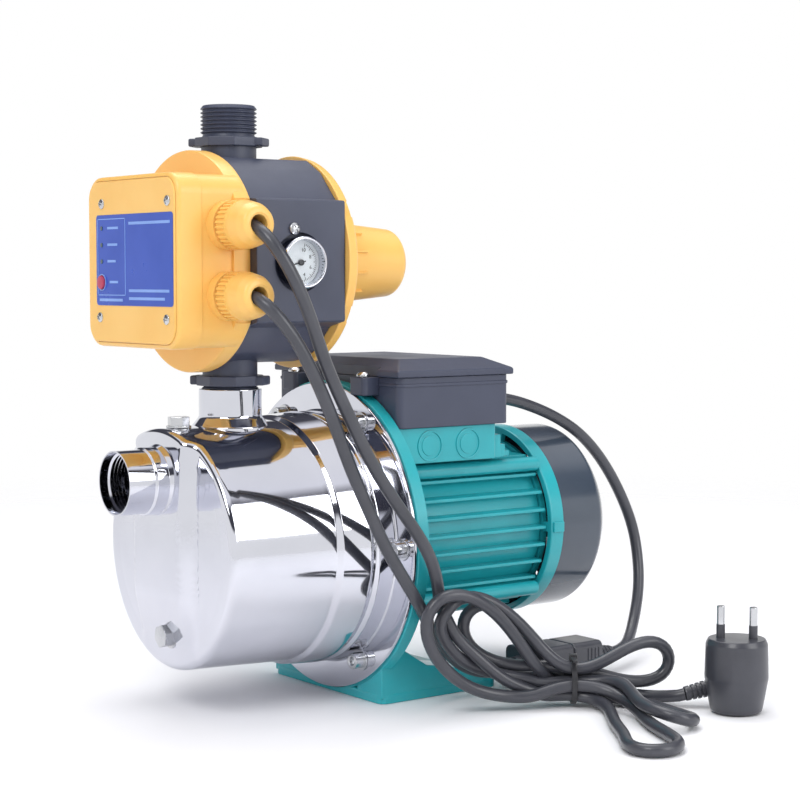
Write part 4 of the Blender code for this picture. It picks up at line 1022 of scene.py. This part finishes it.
# %% Motor frame
def make_motor_frame():
    axis = (0, 0, SHAFT_Z)
    bm = bmesh.new()
    tube = [(0.0512, -0.0372, 0.001), (0.0512, 0.0865, 0.001), (0.0478, 0.0865, 0), (0.0478, -0.0372, 0)]
    spun(bm, tube, "Y", axis, 128, closed=True)
    make("frame_tube", bm, TEAL, replaces=["motor_housing"])

    bm = bmesh.new()
    for k in range(-4, 5):
        height = SHAFT_Z + 0.011 * k
        reach = math.sqrt(0.058**2 - (0.011 * k) ** 2)
        root = math.sqrt(max(0.0495**2 - (0.011 * k) ** 2, 0))
        for side in (-1, 1):
            low, high = sorted((side * root, side * reach))
            made = block(bm, (low, -0.0368, height - 0.0011), (high, 0.0858, height + 0.0011), 0.0006, 3)
            for vert in made:
                if abs(vert.co.x) < reach - 0.003:
                    vert.co.z = height + (vert.co.z - height) * 1.7
    for side_x in (-1, 1):
        for side_z in (-1, 1):
            spot = (side_x * 0.047, 0, SHAFT_Z + side_z * 0.040)
            disc(bm, "Y", spot, -0.0370, 0.0858, 0.0046, 0.0012, 32)
            turn = Matrix.Translation(spot) @ Matrix.Rotation(-math.atan2(side_z * 0.040, side_x * 0.047), 4, "Y")
            block(bm, (-0.0150, -0.0366, -0.0019), (0, 0.0852, 0.0019), 0.0006, 2, turn)
    for k in range(-3, 4):
        spread = math.radians(270 + 11 * k)
        turn = Matrix.Translation(axis) @ Matrix.Rotation(-spread, 4, "Y")
        block(bm, (0.0500, -0.0366, -0.0011), (0.0578, 0.0855, 0.0011), 0.0005, 2, turn)
    make("frame_fins", bm, TEAL)

    bm = bmesh.new()
    soft_box(bm, (-0.0620, -0.0364, 0.1440), (0.0620, 0.0408, 0.1655), "Z", 0.0022, 0.0006, 0.0003, 3)
    for depth, top in ((0.0470, 0.1585), (0.0530, 0.1520), (0.0590, 0.1475)):
        half = 0.0620 - (depth - 0.0408) * 0.5
        block(bm, (-half, 0.0395, 0.1440), (half, depth, top), 0.0008, 2)
    for side in (-1, 1):
        for y in (-0.0114, 0.0180):
            spun(
                bm,
                [(0.0094, 0.0610, 0), (0.0094, 0.0627, 0.0003), (0.0084, 0.0627, 0.0003), (0.0084, 0.0610, 0)]
                if side > 0
                else [(0.0094, -0.0610, 0), (0.0094, -0.0627, 0.0003), (0.0084, -0.0627, 0.0003), (0.0084, -0.0610, 0)],
                "X",
                (0, y, 0.1545),
                48,
                closed=True,
                segments=2,
            )
            disc(bm, "X", (0, y, 0.1545), *sorted((side * 0.0610, side * 0.0625)), 0.0062, 0.0004)
    make("box_pad", bm, TEAL)


make_motor_frame()


# %% [markdown]
# The rear shield is a ring with long curved vents, and the fan cover behind it is pressed steel under
# black enamel. Air comes in through the slits in the cover's end.


# %% Rear shield and fan cover
def arc_cutter(inner, outer, start, end, first, last):
    """A curved slot between two angles, in degrees from +X towards +Z."""
    bm = bmesh.new()
    begin = -math.radians(first)
    corners = []
    for radius, along in ((inner, start), (outer, start), (outer, end), (inner, end)):
        corners.append(bm.verts.new((radius * math.cos(begin), along, SHAFT_Z - radius * math.sin(begin))))
    face = bm.faces.new(corners)
    bmesh.ops.spin(
        bm, geom=[face], cent=(0, 0, SHAFT_Z), axis=(0, 1, 0), angle=-math.radians(last - first), steps=16
    )
    bmesh.ops.remove_doubles(bm, verts=bm.verts, dist=1e-6)
    return bm


def make_rear_end():
    axis = (0, 0, SHAFT_Z)
    bm = bmesh.new()
    outline = [
        (0.0618, 0.0970, 0.0005),
        (0.0618, 0.0868, 0.0012),
        (0.0163, 0.0868, 0),
        (0.0163, 0.0974, 0),
        (0.0075, 0.0974, 0),
        (0.0075, 0.0988, 0),
        (0.0200, 0.0988, 0.0008),
        (0.0220, 0.0903, 0.001),
        (0.0590, 0.0903, 0.001),
        (0.0590, 0.0970, 0),
    ]
    spun(bm, outline, "Y", axis, 128, closed=True)
    vents = []
    for first in (3, 44, 102, 143, 183, 224, 282, 323):
        vents.append(arc_cutter(0.0530, 0.0582, 0.0850, 0.0920, first, first + 34))
    shield = make("rear_shield", bm, TEAL, replaces=["end_shield"], cutters=vents)

    bm = bmesh.new()
    for side in (-1, 1):
        low, high = sorted((side * 0.0605, side * 0.0632))
        block(bm, (low, 0.0880, SHAFT_Z - 0.0035), (high, 0.0968, SHAFT_Z + 0.0035), 0.0008, 2)
    make("shield_lugs", bm, TEAL)

    bm = bmesh.new()
    outer = [
        (0, 0.1387, 0),
        (0.0535, 0.1387, 0.004),
        (0.0605, 0.1310, 0.006),
        (0.0605, 0.0973, 0),
        (0.0593, 0.0973, 0),
        (0.0593, 0.1305, 0.005),
        (0.0530, 0.1375, 0.003),
        (0, 0.1375, 0),
    ]
    spun(bm, outer, "Y", axis, 128, segments=6)
    slits = []
    for k in range(24):
        turn = Matrix.Translation(axis) @ Matrix.Rotation(math.radians(15 * k), 4, "Y")
        slits.append(box_cutter((0.0170, 0.13, -0.0013), (0.0480, 0.15, 0.0013), 0.0011, "Y", turn))
    make("fan_hood", bm, ENAMEL, replaces=["fan_cover"], sharp=45, cutters=slits)
    return shield


make_rear_end()

# %% [markdown]
# ## Terminal box
# The box is moulded in slate plastic. Its lid has a wide chamfer on all sides, and two pillars in front
# carry its screws.


# %% Terminal box and lid
def make_terminal_box():
    bm = bmesh.new()
    soft_box(bm, (-0.0650, -0.0368, 0.1658), (0.0650, 0.0485, 0.1960), "Z", 0.0045, 0.0006, 0.0002)
    for side in (-1, 1):
        low, high = sorted((side * 0.0290, side * 0.0450))
        soft_box(bm, (low, -0.0482, 0.1850), (high, -0.0350, 0.1960), "Z", 0.0030, 0.0010, 0.0003)
    hollow = box_cutter((-0.0625, -0.0343, 0.1683), (0.0625, 0.0460, 0.25), 0.003, "Z")
    hole = drill("Y", (0.026, 0, 0.179), 0.040, 0.060, 0.0055, 32)
    make("box_case", bm, SLATE, replaces=["terminal_box"], cutters=[hollow, hole])
    bm = bmesh.new()
    soft_box(bm, (-0.0656, -0.0374, 0.1905), (0.0656, 0.0491, 0.1925), "Z", 0.0048, 0.0005, 0.0005)
    hollow = box_cutter((-0.0628, -0.0346, 0.18), (0.0628, 0.0463, 0.20), 0.003, "Z")
    make("box_moulding", bm, SLATE, cutters=[hollow])

    bm = bmesh.new()
    made = bmesh.ops.create_cube(
        bm, size=1.0, matrix=Matrix.Translation((0, 0.00575, 0.2018)) @ Matrix.Diagonal((0.134, 0.0895, 0.010, 1))
    )["verts"]
    for vert in made:
        top = vert.co.z > 0.2018
        vert.co.z = 0.2068 if top else 0.2003
        if top:
            vert.co.x *= 0.76
            vert.co.y = 0.00575 + (vert.co.y - 0.00575) * 0.72
    bottom = [face for face in bm.faces if face.calc_center_median().z < 0.2004]
    moved = bmesh.ops.extrude_face_region(bm, geom=bottom)["geom"]
    for item in moved:
        if isinstance(item, bmesh.types.BMVert):
            item.co.z = 0.1963
    bmesh.ops.delete(bm, geom=bottom, context="FACES_ONLY")
    bmesh.ops.bevel(
        bm, geom=list(bm.edges), offset=0.0009, offset_type="OFFSET", segments=3, profile=0.5, affect="EDGES", material=-1
    )
    inside = box_cutter((-0.0620, -0.0340, 0.19), (0.0620, 0.0455, 0.1995))
    recess = box_cutter((-0.0460, -0.08, 0.19), (0.0460, -0.0352, 0.2080), 0.002, "Z")
    make("box_lid", bm, SLATE, replaces=["terminal_lid"], sharp=30, cutters=[inside, recess])

    for side, label in ((-1, "left"), (1, "right")):
        bm = bmesh.new()
        head = [
            (0, 0.1992, 0),
            (0.0022, 0.1991, 0.001),
            (0.0040, 0.1978, 0.0012),
            (0.0042, 0.1963, 0.0003),
            (0.0016, 0.1963, 0),
            (0.0016, 0.1920, 0),
            (0, 0.1920, 0),
        ]
        spun(bm, head, "Z", (side * 0.037, -0.0430, 0), 32)
        cross = []
        for angle in (0.4, 0.4 + math.pi / 2):
            turn = Matrix.Translation((side * 0.037, -0.0430, 0)) @ Matrix.Rotation(angle, 4, "Z")
            cross.append(box_cutter((-0.0021, -0.0004, 0.1980), (0.0021, 0.0004, 0.2), turn=turn))
        make(f"box_screw_{label}", bm, ZINC, replaces=[f"lid_screw_{label}"], cutters=cross)

    bm = bmesh.new()
    gland = [
        (0.0095, 0.0545, 0.0008),
        (0.0095, 0.0488, 0),
        (0.0052, 0.0488, 0),
        (0.0052, 0.0445, 0),
        (0.0037, 0.0445, 0),
        (0.0037, 0.0642, 0),
        (0.0056, 0.0642, 0.0008),
        (0.0080, 0.0565, 0.001),
    ]
    spun(bm, gland, "Y", (0.026, 0, 0.179), 48, closed=True)
    make("cord_gland", bm, SLATE, replaces=["box_gland"])


make_terminal_box()

# %% [markdown]
# ## The controller's front
# The yellow front housing is a deep square tray on a round flange. Its plate is screwed on with a thin
# shadow gap all round, and holds the blue label, three lamps and the reset button.


# %% Front housing
def make_control_front():
    bm = bmesh.new()
    low, high = CONTROL_Z - 0.0495, CONTROL_Z + 0.0495
    soft_box(bm, (-0.0525, -0.1796, low), (0.0525, -0.1640, high), "Y", 0.0125, 0.0028, 0.0004, 8)
    plate_seat = bmesh.new()
    soft_box(plate_seat, (-0.0504, -0.19, low + 0.0024), (0.0504, -0.1786, high - 0.0024), "Y", 0.0108)
    hollow = bmesh.new()
    soft_box(hollow, (-0.0480, -0.19, low + 0.0048), (0.0480, -0.15, high - 0.0048), "Y", 0.0090)
    make("control_rim", bm, YELLOW, replaces=["control_box"], cutters=[plate_seat, hollow])

    bm = bmesh.new()
    soft_box(bm, (-0.0519, -0.1646, low + 0.0006), (0.0519, -0.1370, high - 0.0006), "Y", 0.0120, 0.0, 0.0, 8)
    hollow = bmesh.new()
    soft_box(hollow, (-0.0485, -0.19, low + 0.0040), (0.0485, -0.1385, high - 0.0040), "Y", 0.0095)
    holes = [drill("X", (0, GLAND_Y, z), 0.045, 0.065, 0.0065, 32) for z in GLAND_ZS.values()]
    make("control_body", bm, YELLOW, cutters=[hollow] + holes)

    bm = bmesh.new()
    disc(bm, "Y", (0, 0, CONTROL_Z), -0.1440, -0.1333, 0.0648, 0.0016, 128)
    for side in (-1, 1):
        disc(bm, "Y", (0, 0, CONTROL_Z + side * 0.0565), -0.1560, -0.1420, 0.0062, 0.0008, 32)
        foot = (-0.0062, -0.1540, CONTROL_Z + side * 0.0530 - 0.0040)
        block(bm, foot, (0.0062, -0.1420, CONTROL_Z + side * 0.0530 + 0.0040), 0.0006)
    notch = box_cutter((0.0535, -0.1500, 0.2285), (0.0800, -0.1300, 0.3020), 0.004, "Y")
    pockets = [drill("Y", (0, 0, CONTROL_Z + side * 0.0575), -0.16, -0.150, 0.0026, 24) for side in (-1, 1)]
    hollow = bmesh.new()
    soft_box(hollow, (-0.0485, -0.19, low + 0.0040), (0.0485, -0.1360, high - 0.0040), "Y", 0.0095)
    make("control_flange", bm, YELLOW, sharp=45, cutters=[notch, hollow] + pockets)

    bm = bmesh.new()
    for z in GLAND_ZS.values():
        spun(
            bm,
            [(0.0140, 0.0590, 0.0006), (0.0140, 0.0480, 0), (0.0066, 0.0480, 0), (0.0066, 0.0590, 0)],
            "X",
            (0, GLAND_Y, z),
            64,
            closed=True,
        )
    make("gland_bosses", bm, YELLOW)

    bm = bmesh.new()
    soft_box(bm, (-0.0500, PLATE_FRONT, low + 0.0028), (0.0500, -0.1789, high - 0.0028), "Y", 0.0104, 0.0006, 0.0, 8)
    hole = drill("Y", (-0.0333, 0, 0.2530), -0.19, -0.17, 0.0044, 32)
    make("control_plate", bm, YELLOW, replaces=["front_plate"], cutters=[hole])


make_control_front()


# %% Label, lamps, screws and button
def make_label():
    front = PLATE_FRONT - 0.0003
    bm = bmesh.new()
    soft_box(bm, (-0.0402, front, 0.2396), (0.0490, PLATE_FRONT + 0.0004, 0.2922), "Y", 0.0022)
    hole = drill("Y", (-0.0333, 0, 0.2530), -0.19, -0.17, 0.0044, 32)
    make("label", bm, LABEL, cutters=[hole])
    bm = bmesh.new()
    print_face = front - 0.00012
    left, right, bottom, top = -0.0385, -0.0050, 0.2454, 0.2900
    for low, high in (
        ((left, bottom), (right, bottom + 0.0005)),
        ((left, top - 0.0005), (right, top)),
        ((left, bottom), (left + 0.0005, top)),
        ((right - 0.0005, bottom), (right, top)),
    ):
        block(bm, (low[0], print_face, low[1]), (high[0], front + 0.0001, high[1]), 0)
    for x, z, width in (
        (-0.0265, 0.2838, 0.013),
        (-0.0265, 0.2742, 0.012),
        (-0.0265, 0.2646, 0.010),
        (-0.0240, 0.2525, 0.010),
    ):
        block(bm, (x, print_face, z), (x + width, front + 0.0001, z + 0.0014), 0)
    for x, z, width in (
        (-0.0010, 0.2860, 0.047),
        (-0.0010, 0.2475, 0.046),
        (-0.0010, 0.2430, 0.041),
        (-0.0365, 0.2420, 0.028),
    ):
        block(bm, (x, print_face, z), (x + width, front + 0.0001, z + 0.0016), 0)
    make("label_print", bm, PRINT)
    bm = bmesh.new()
    for z in (0.2845, 0.2747, 0.2652):
        disc(bm, "Y", (-0.0335, 0, z), front - 0.0004, front + 0.0001, 0.0013, 0.0002, 24)
    make("label_lamps", bm, DIM_LIGHT)
    bm = bmesh.new()
    ring = [(0.0049, front - 0.0004, 0.0001), (0.0049, front + 0.0001, 0), (0.0043, front + 0.0001, 0)]
    spun(bm, ring + [(0.0043, front - 0.0004, 0.0001)], "Y", (-0.0333, 0, 0.2530), 48, closed=True)
    make("button_ring", bm, PRINT)

    bm = bmesh.new()
    button = [
        (0, -0.1690, 0),
        (0.0025, -0.1690, 0),
        (0.0025, -0.1765, 0),
        (0.0052, -0.1765, 0),
        (0.0052, -0.1780, 0),
        (0.0040, -0.1780, 0),
        (0.0040, -0.1824, 0.0008),
        (0, -0.1828, 0),
    ]
    spun(bm, button, "Y", (-0.0333, 0, 0.2530), 48)
    make("button_cap", bm, RED, body="button", replaces=["reset_button"])

    for k, (x, z) in enumerate(((-0.0336, 0.2987), (0.0429, 0.2984), (-0.0363, 0.2325), (0.0414, 0.2324))):
        bm = bmesh.new()
        spun(
            bm,
            [
                (0, -0.1822, 0),
                (0.0014, -0.1821, 0.0006),
                (0.0029, -0.1811, 0.0006),
                (0.0030, -0.1804, 0),
                (0, -0.1804, 0),
            ],
            "Y",
            (x, 0, z),
            32,
        )
        cross = []
        for angle in (0.3 + k, 0.3 + k + math.pi / 2):
            turn = Matrix.Translation((x, 0, z)) @ Matrix.Rotation(angle, 4, "Y")
            cross.append(box_cutter((-0.0019, -0.185, -0.0003), (0.0019, -0.1812, 0.0003), turn=turn))
        make(f"plate_screw_{k + 1}", bm, ZINC, cutters=cross)


make_label()

# %% [markdown]
# ## Valve body, nuts and rear cover
# Behind the yellow housing sits the slate body that the water passes through. It has a flat top, a flat
# boss for the gauge on its side, and a threaded stub at each end with a winged nut on it.


# %% Valve body
def make_flow_body():
    arc = []
    for degrees in range(-60, -176, -5):
        angle = math.radians(degrees)
        arc.append((0.0600 * math.cos(angle), CONTROL_Z + 0.0600 * math.sin(angle)))
    shoulder = [
        (-0.0560, 0.2860),
        (-0.0500, 0.3010),
        (-0.0340, 0.3180),
        (-0.0190, 0.3252),
        (0.0210, 0.3252),
        (0.0350, 0.3176),
        (0.0505, 0.3012),
        (0.0592, 0.3004),
        (0.0600, 0.2996),
        (0.0600, 0.2310),
        (0.0592, 0.2302),
        (0.0450, 0.2270),
    ]
    bm = bmesh.new()
    prism(bm, shoulder + arc, "Y", -0.1330, -0.0720, 0.0010)
    axis = (0, -0.1037, 0.2644)
    cutters = [
        drill("X", axis, 0.0540, 0.08, 0.0172, 64),
        drill("X", (0, -0.1079, 0.2836), 0.052, 0.08, 0.0018, 16),
        drill("Z", (0, OUTLET_Y, 0), 0.15, 0.40, 0.0125, 48),
    ]
    make("valve_body", bm, SLATE, replaces=["flow_body"], sharp=24, cutters=cutters)

    bm = bmesh.new()
    upper = [(0.0140, 0.3568, 0.0004), (0.0152, 0.3568, 0.0005)]
    upper += thread_outline(0.0166, 0.0014, 0.3550, 0.3385)
    upper += [(0.0160, 0.3378, 0), (0.0160, 0.3330, 0), (0.0163, 0.3325, 0), (0.0163, 0.3200, 0), (0.0140, 0.3200, 0)]
    spun(bm, upper, "Z", (0, OUTLET_Y, 0), 96, closed=True)
    lower = [(0.0105, 0.2200, 0), (0.0163, 0.2200, 0), (0.0163, 0.1985, 0)]
    lower += thread_outline(0.0166, 0.0014, 0.1975, 0.1740)
    lower += [(0.0150, 0.1722, 0), (0.0105, 0.1722, 0)]
    spun(bm, lower, "Z", (0, OUTLET_Y, 0), 96, closed=True)
    make("valve_stubs", bm, SLATE, sharp=50)


def make_nuts():
    for name, node, low, high in (
        ("top_nut", "upper_nut", 0.3326, 0.3380),
        ("bottom_nut", "lower_nut", 0.1919, 0.1979),
    ):
        bm = bmesh.new()
        hex_form(bm, "Z", (0, OUTLET_Y, 0), low, high, 0.0374, 8, math.pi / 8, 0.0006)
        bore = drill("Z", (0, OUTLET_Y, 0), 0.10, 0.40, 0.0170, 64)
        make(name, bm, SLATE, replaces=[node], cutters=[bore])
        bm = bmesh.new()
        for side in (0, math.pi):
            turn = Matrix.Translation((0, OUTLET_Y, 0)) @ Matrix.Rotation(math.radians(38) + side, 4, "Z")
            block(bm, (0.0176, -0.0068, low + 0.0003), (0.0232, 0.0068, high - 0.0003), 0.0010, 2, turn)
        make(f"{name}_wings", bm, SLATE)


make_flow_body()
make_nuts()


# %% Rear cover
def make_rear_cover():
    bm = bmesh.new()
    outline = [
        (0, 0.0050, 0),
        (0.0165, 0.0050, 0.0060),
        (0.0210, 0.0010, 0.0060),
        (0.0250, -0.0420, 0.02),
        (0.0262, -0.0572, 0.0035),
        (0.0540, -0.0605, 0.003),
        (0.0628, -0.0648, 0.004),
        (0.0640, -0.0717, 0.0008),
        (0, -0.0717, 0),
    ]
    spun(bm, outline, "Y", (0, 0, CONTROL_Z), 128, segments=6)
    pockets = []
    for k in range(6):
        turn = Matrix.Translation((0, 0, CONTROL_Z)) @ Matrix.Rotation(-math.radians(60 * k), 4, "Y")
        pockets.append(box_cutter((0.0400, -0.0690, -0.0085), (0.0560, -0.0500, 0.0085), 0.0030, "Y", turn))
    scoops = []
    for k in range(6):
        turn = Matrix.Translation((0, 0, CONTROL_Z)) @ Matrix.Rotation(-math.radians(60 * k + 30), 4, "Y")
        scoops.append(box_cutter((0.0535, -0.0660, -0.0060), (0.0800, -0.0500, 0.0060), 0.0030, "Y", turn))
    bore = drill("Y", (0, 0, CONTROL_Z), -0.08, 0.0, 0.0170, 48)
    seat = drill("Y", (0, 0, CONTROL_Z), -0.10, -0.0690, 0.0466, 64)
    make("spring_cover", bm, YELLOW, replaces=["rear_cover"], cutters=[seat, bore] + pockets + scoops)
    bm = bmesh.new()
    for k in range(12):
        turn = Matrix.Translation((0, 0, CONTROL_Z)) @ Matrix.Rotation(-math.radians(30 * k + 15), 4, "Y")
        block(bm, (0.0195, -0.0570, -0.0006), (0.0258, -0.0300, 0.0006), 0.0004, 2, turn)
    make("cover_ribs", bm, YELLOW)


make_rear_cover()

# %% [markdown]
# ## Gauge and gland nuts
# The gauge is a plated can with a printed card, a black needle on its own body, and a flat glass. Zero
# to ten is marked round the card, and the needle turns about the card's centre.


# %% Gauge
def make_gauge():
    centre = (0, -0.1037, 0.2644)
    bm = bmesh.new()
    can = [
        (0, 0.0545, 0),
        (0.0148, 0.0545, 0.0004),
        (0.0150, 0.0655, 0.0012),
        (0.0140, 0.0667, 0.0006),
        (0.0131, 0.0662, 0.0003),
        (0.0131, 0.0600, 0),
        (0, 0.0600, 0),
    ]
    spun(bm, can, "X", centre, 96)
    make("gauge_can", bm, STEEL, replaces=["gauge_case"])
    bm = bmesh.new()
    disc(bm, "X", centre, 0.0599, 0.0602, 0.0130, 0, 64)
    make("gauge_dial", bm, DIAL)
    bm = bmesh.new()
    for k in range(41):
        degrees = 14 + 240 * k / 40
        length = 0.0022 if k % 4 == 0 else 0.0011
        turn = Matrix.Translation(centre) @ Matrix.Rotation(math.radians(degrees), 4, "X")
        block(bm, (0.06018, -0.0112, -0.00013), (0.06032, -0.0112 + length, 0.00013), 0, turn=turn)
    make("gauge_ticks", bm, NEEDLE)
    for k in range(6):
        angle = math.radians(14 + 48 * k)
        text = bpy.data.curves.new(f"dial_number_{k}", "FONT")
        text.body = str(2 * k)
        text.size = 0.0030
        text.extrude = 0.00006
        text.align_x = "CENTER"
        text.align_y = "CENTER"
        holder = bpy.data.objects.new(f"dial_number_{k}", text)
        bpy.context.scene.collection.objects.link(holder)
        place = Matrix.Translation((0.0603, centre[1] - 0.0074 * math.cos(angle), centre[2] - 0.0074 * math.sin(angle)))
        lay = Matrix.Rotation(math.pi / 2, 4, "Z") @ Matrix.Rotation(math.pi / 2, 4, "X")
        bpy.context.view_layer.update()
        mesh = bpy.data.meshes.new_from_object(holder.evaluated_get(bpy.context.evaluated_depsgraph_get()))
        mesh.transform(place @ lay)
        bpy.data.objects.remove(holder, do_unlink=True)
        number = bpy.data.objects.new(f"dial_number_{2 * k}", mesh)
        bpy.context.scene.collection.objects.link(number)
        mesh.materials.clear()
        mesh.materials.append(NEEDLE)
        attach(number, "root")

    bm = bmesh.new()
    turn = Matrix.Translation(centre) @ Matrix.Rotation(math.radians(14), 4, "X")
    block(bm, (0.0607, -0.0100, -0.00035), (0.0611, 0.0034, 0.00035), 0.0001, 1, turn)
    disc(bm, "X", centre, 0.0604, 0.0618, 0.0018, 0.0003, 32)
    make("needle_hand", bm, NEEDLE, body="needle", replaces=["gauge_needle"])
    bm = bmesh.new()
    disc(bm, "X", centre, 0.0640, 0.0650, 0.0130, 0.0001, 64)
    make("gauge_lens", bm, GLASS, replaces=["gauge_glass"])

    bm = bmesh.new()
    head = [
        (0, 0.0627, 0),
        (0.0020, 0.0625, 0.001),
        (0.0035, 0.0614, 0.001),
        (0.0036, 0.0601, 0),
        (0.0015, 0.0601, 0),
        (0.0015, 0.0530, 0),
        (0, 0.0530, 0),
    ]
    spun(bm, head, "X", (0, -0.1079, 0.2836), 32)
    cross = []
    for angle in (0.5, 0.5 + math.pi / 2):
        turn = Matrix.Translation((0, -0.1079, 0.2836)) @ Matrix.Rotation(angle, 4, "X")
        cross.append(box_cutter((0.0617, -0.0020, -0.0004), (0.07, 0.0020, 0.0004), turn=turn))
    make("valve_screw", bm, ZINC, replaces=["body_screw"], cutters=cross)


make_gauge()


# %% Gland nuts
def make_gland_nuts():
    for node, z in GLAND_ZS.items():
        centre = (0, GLAND_Y, z)
        bm = bmesh.new()
        outline = [
            (0.0054, 0.0845, 0),
            (0.0066, 0.0852, 0.0008),
            (0.0096, 0.0848, 0.004),
            (0.0122, 0.0795, 0.006),
            (0.0135, 0.0725, 0.004),
            (0.0135, 0.0690, 0.001),
            (0.0130, 0.0675, 0.001),
            (0.0130, 0.0602, 0.0005),
            (0.0052, 0.0602, 0),
            (0.0052, 0.0780, 0),
        ]
        spun(bm, outline, "X", centre, 96, closed=True, segments=6)
        for k in range(30):
            turn = Matrix.Translation(centre) @ Matrix.Rotation(math.radians(12 * k), 4, "X")
            block(bm, (0.0604, -0.0008, 0.0122), (0.0700, 0.0008, 0.0138), 0.0004, 2, turn)
        make(f"{node}_cap", bm, YELLOW, replaces=[node])


make_gland_nuts()

# %% [markdown]
# ## What the cords end in
# The mains plug is an angled moulding with two round pins and a ribbed sleeve. The coupling is a socket
# and a plug pushed together, each with its own sleeve.


# %% Mains plug
def make_plug():
    at = Vector((0.198, 0.112, 0))
    bm = bmesh.new()
    body = [
        (0, 0.0440, 0),
        (0.0168, 0.0440, 0.0010),
        (0.0182, 0.0410, 0.003),
        (0.0188, 0.0210, 0.01),
        (0.0150, 0.0004, 0.0030),
        (0, 0.0004, 0),
    ]
    spun(bm, body, "Z", tuple(at), 64)
    direction = (Vector((0.1695, 0.0975, 0.0075)) - Vector((0.1650, 0.0900, 0.0055))).normalized()
    start = Vector((0.1695, 0.0975, 0.0075))
    lay = Matrix.Translation(start) @ direction.to_track_quat("Z", "Y").to_matrix().to_4x4()
    sleeve = bmesh.new()
    ribs = [(0.0036, 0.0005, 0), (0.0042, 0.0005, 0.0003)]
    for k in range(7):
        along = 0.0015 + 0.0032 * k
        radius = 0.0044 + 0.0002 * k
        ribs += [(radius, along, 0.0003), (radius, along + 0.0021, 0.0003)]
        ribs += [(radius - 0.0011, along + 0.0023, 0), (radius - 0.0011, along + 0.0031, 0)]
    ribs += [(0.0064, 0.0242, 0.0005), (0.0068, 0.0330, 0), (0.0036, 0.0330, 0)]
    spun(sleeve, ribs, "Z", (0, 0, 0), 48, closed=True)
    bmesh.ops.transform(sleeve, matrix=lay, verts=sleeve.verts)
    cap = make("plug_body", bm, CORD, replaces=["mains_plug"])
    grip = make("plug_sleeve", sleeve, CORD)
    bm = bmesh.new()
    for side in (-1, 1):
        spot = at + Vector((side * 0.0076, side * 0.0057, 0))
        disc(bm, "Z", tuple(spot), 0.0400, 0.0630, 0.0024, 0.0010, 32)
    pins = make("plug_pins", bm, ZINC)
    bm = bmesh.new()
    for side in (-1, 1):
        spot = at + Vector((side * 0.0076, side * 0.0057, 0))
        disc(bm, "Z", tuple(spot), 0.0436, 0.0520, 0.0026, 0.0003, 32)
    collars = make("plug_collars", bm, CORD)
    return [cap, grip, pins, collars]


def make_coupling():
    made = []
    x, z = 0.071, 0.0130
    for name, node, low, high, sleeve_low in (
        ("coupling_body", "coupling_socket", 0.0525, 0.0860, True),
        ("coupling_cap", "motor_plug", 0.0863, 0.1105, False),
    ):
        bm = bmesh.new()
        soft_box(bm, (x - 0.0140, low, z - 0.0125), (x + 0.0140, high, z + 0.0125), "Y", 0.0040, 0.0012, 0.0012)
        for k in range(4):
            along = (low if sleeve_low else high - 0.0160) + 0.0030 + 0.0030 * k
            soft_box(
                bm, (x - 0.0145, along, z - 0.0090), (x + 0.0145, along + 0.0014, z + 0.0090), "Y", 0.0010, 0.0003, 0.0003
            )
        start, end = (low, low - 0.0220) if sleeve_low else (high, high + 0.0200)
        reach = end - start
        ribs = [(0.0036, start, 0), (0.0075, start, 0.0004)]
        for k in range(5):
            along = start + reach * (0.12 + 0.17 * k)
            radius = 0.0070 - 0.0005 * k
            ribs += [(radius, along, 0.0003), (radius, along + reach * 0.10, 0.0003)]
            ribs += [(radius - 0.0011, along + reach * 0.11, 0), (radius - 0.0011, along + reach * 0.16, 0)]
        ribs += [(0.0044, end, 0.0004), (0.0036, end, 0)]
        spun(bm, ribs, "Y", (x, 0, z), 48, closed=True)
        made.append(make(name, bm, CORD, replaces=[node]))
    return made


def make_tie():
    turn = Matrix.Translation(TIE) @ TIE_AXIS.to_track_quat("Z", "Y").to_matrix().to_4x4()
    bm = bmesh.new()
    ring = [(0.0124, -0.0016, 0.0003), (0.0134, -0.0016, 0.0003), (0.0134, 0.0016, 0.0003), (0.0124, 0.0016, 0.0003)]
    spun(bm, ring, "Z", (0, 0, 0), 64, closed=True)
    block(bm, (-0.0026, 0.0122, -0.0024), (0.0026, 0.0165, 0.0024), 0.0005)
    block(bm, (-0.0160, 0.0144, -0.0014), (-0.0020, 0.0155, 0.0014), 0.0003)
    bmesh.ops.transform(bm, matrix=turn, verts=bm.verts)
    return make("cord_tie", bm, NYLON, replaces=["hank_tie"])


plug_pieces = make_plug()
coupling_pieces = make_coupling()
tie_piece = make_tie()

# %% [markdown]
# ## The inside
# The pieces inside keep the model's shapes. Each is rebuilt with shared corners, so that its round faces
# shade smoothly, and takes its own finish.

# %% Inner pieces
INNER = {
    "jet_nozzle": BRASS,
    "venturi_tube": RESIN,
    "diffuser": RESIN,
    "impeller": BRASS,
    "casing_gasket": RUBBER,
    "seal_plate": ZINC,
    "shaft_seal": RUBBER,
    "stator_core": IRON,
    "stator_winding": COPPER,
    "rotor_core": IRON,
    "motor_shaft": ZINC,
    "front_bearing": ZINC,
    "rear_bearing": ZINC,
    "cooling_fan": SLATE,
    "terminal_block": WHITE,
    "run_capacitor": WHITE,
    "circuit_board": BOARD,
    "flow_valve": WHITE,
    "pressure_spring": ZINC,
    "diaphragm": RUBBER,
}
for node, inner_finish in INNER.items():
    bm = bmesh.new()
    bm.from_mesh(frame["nodes"][node].data)
    bmesh.ops.remove_doubles(bm, verts=bm.verts, dist=1e-5)
    body = next(title for title, nodes in frame["record"]["behaviour"]["bodies"].items() if node in nodes)
    make(f"inner_{node}", bm, inner_finish, body=body, replaces=[node])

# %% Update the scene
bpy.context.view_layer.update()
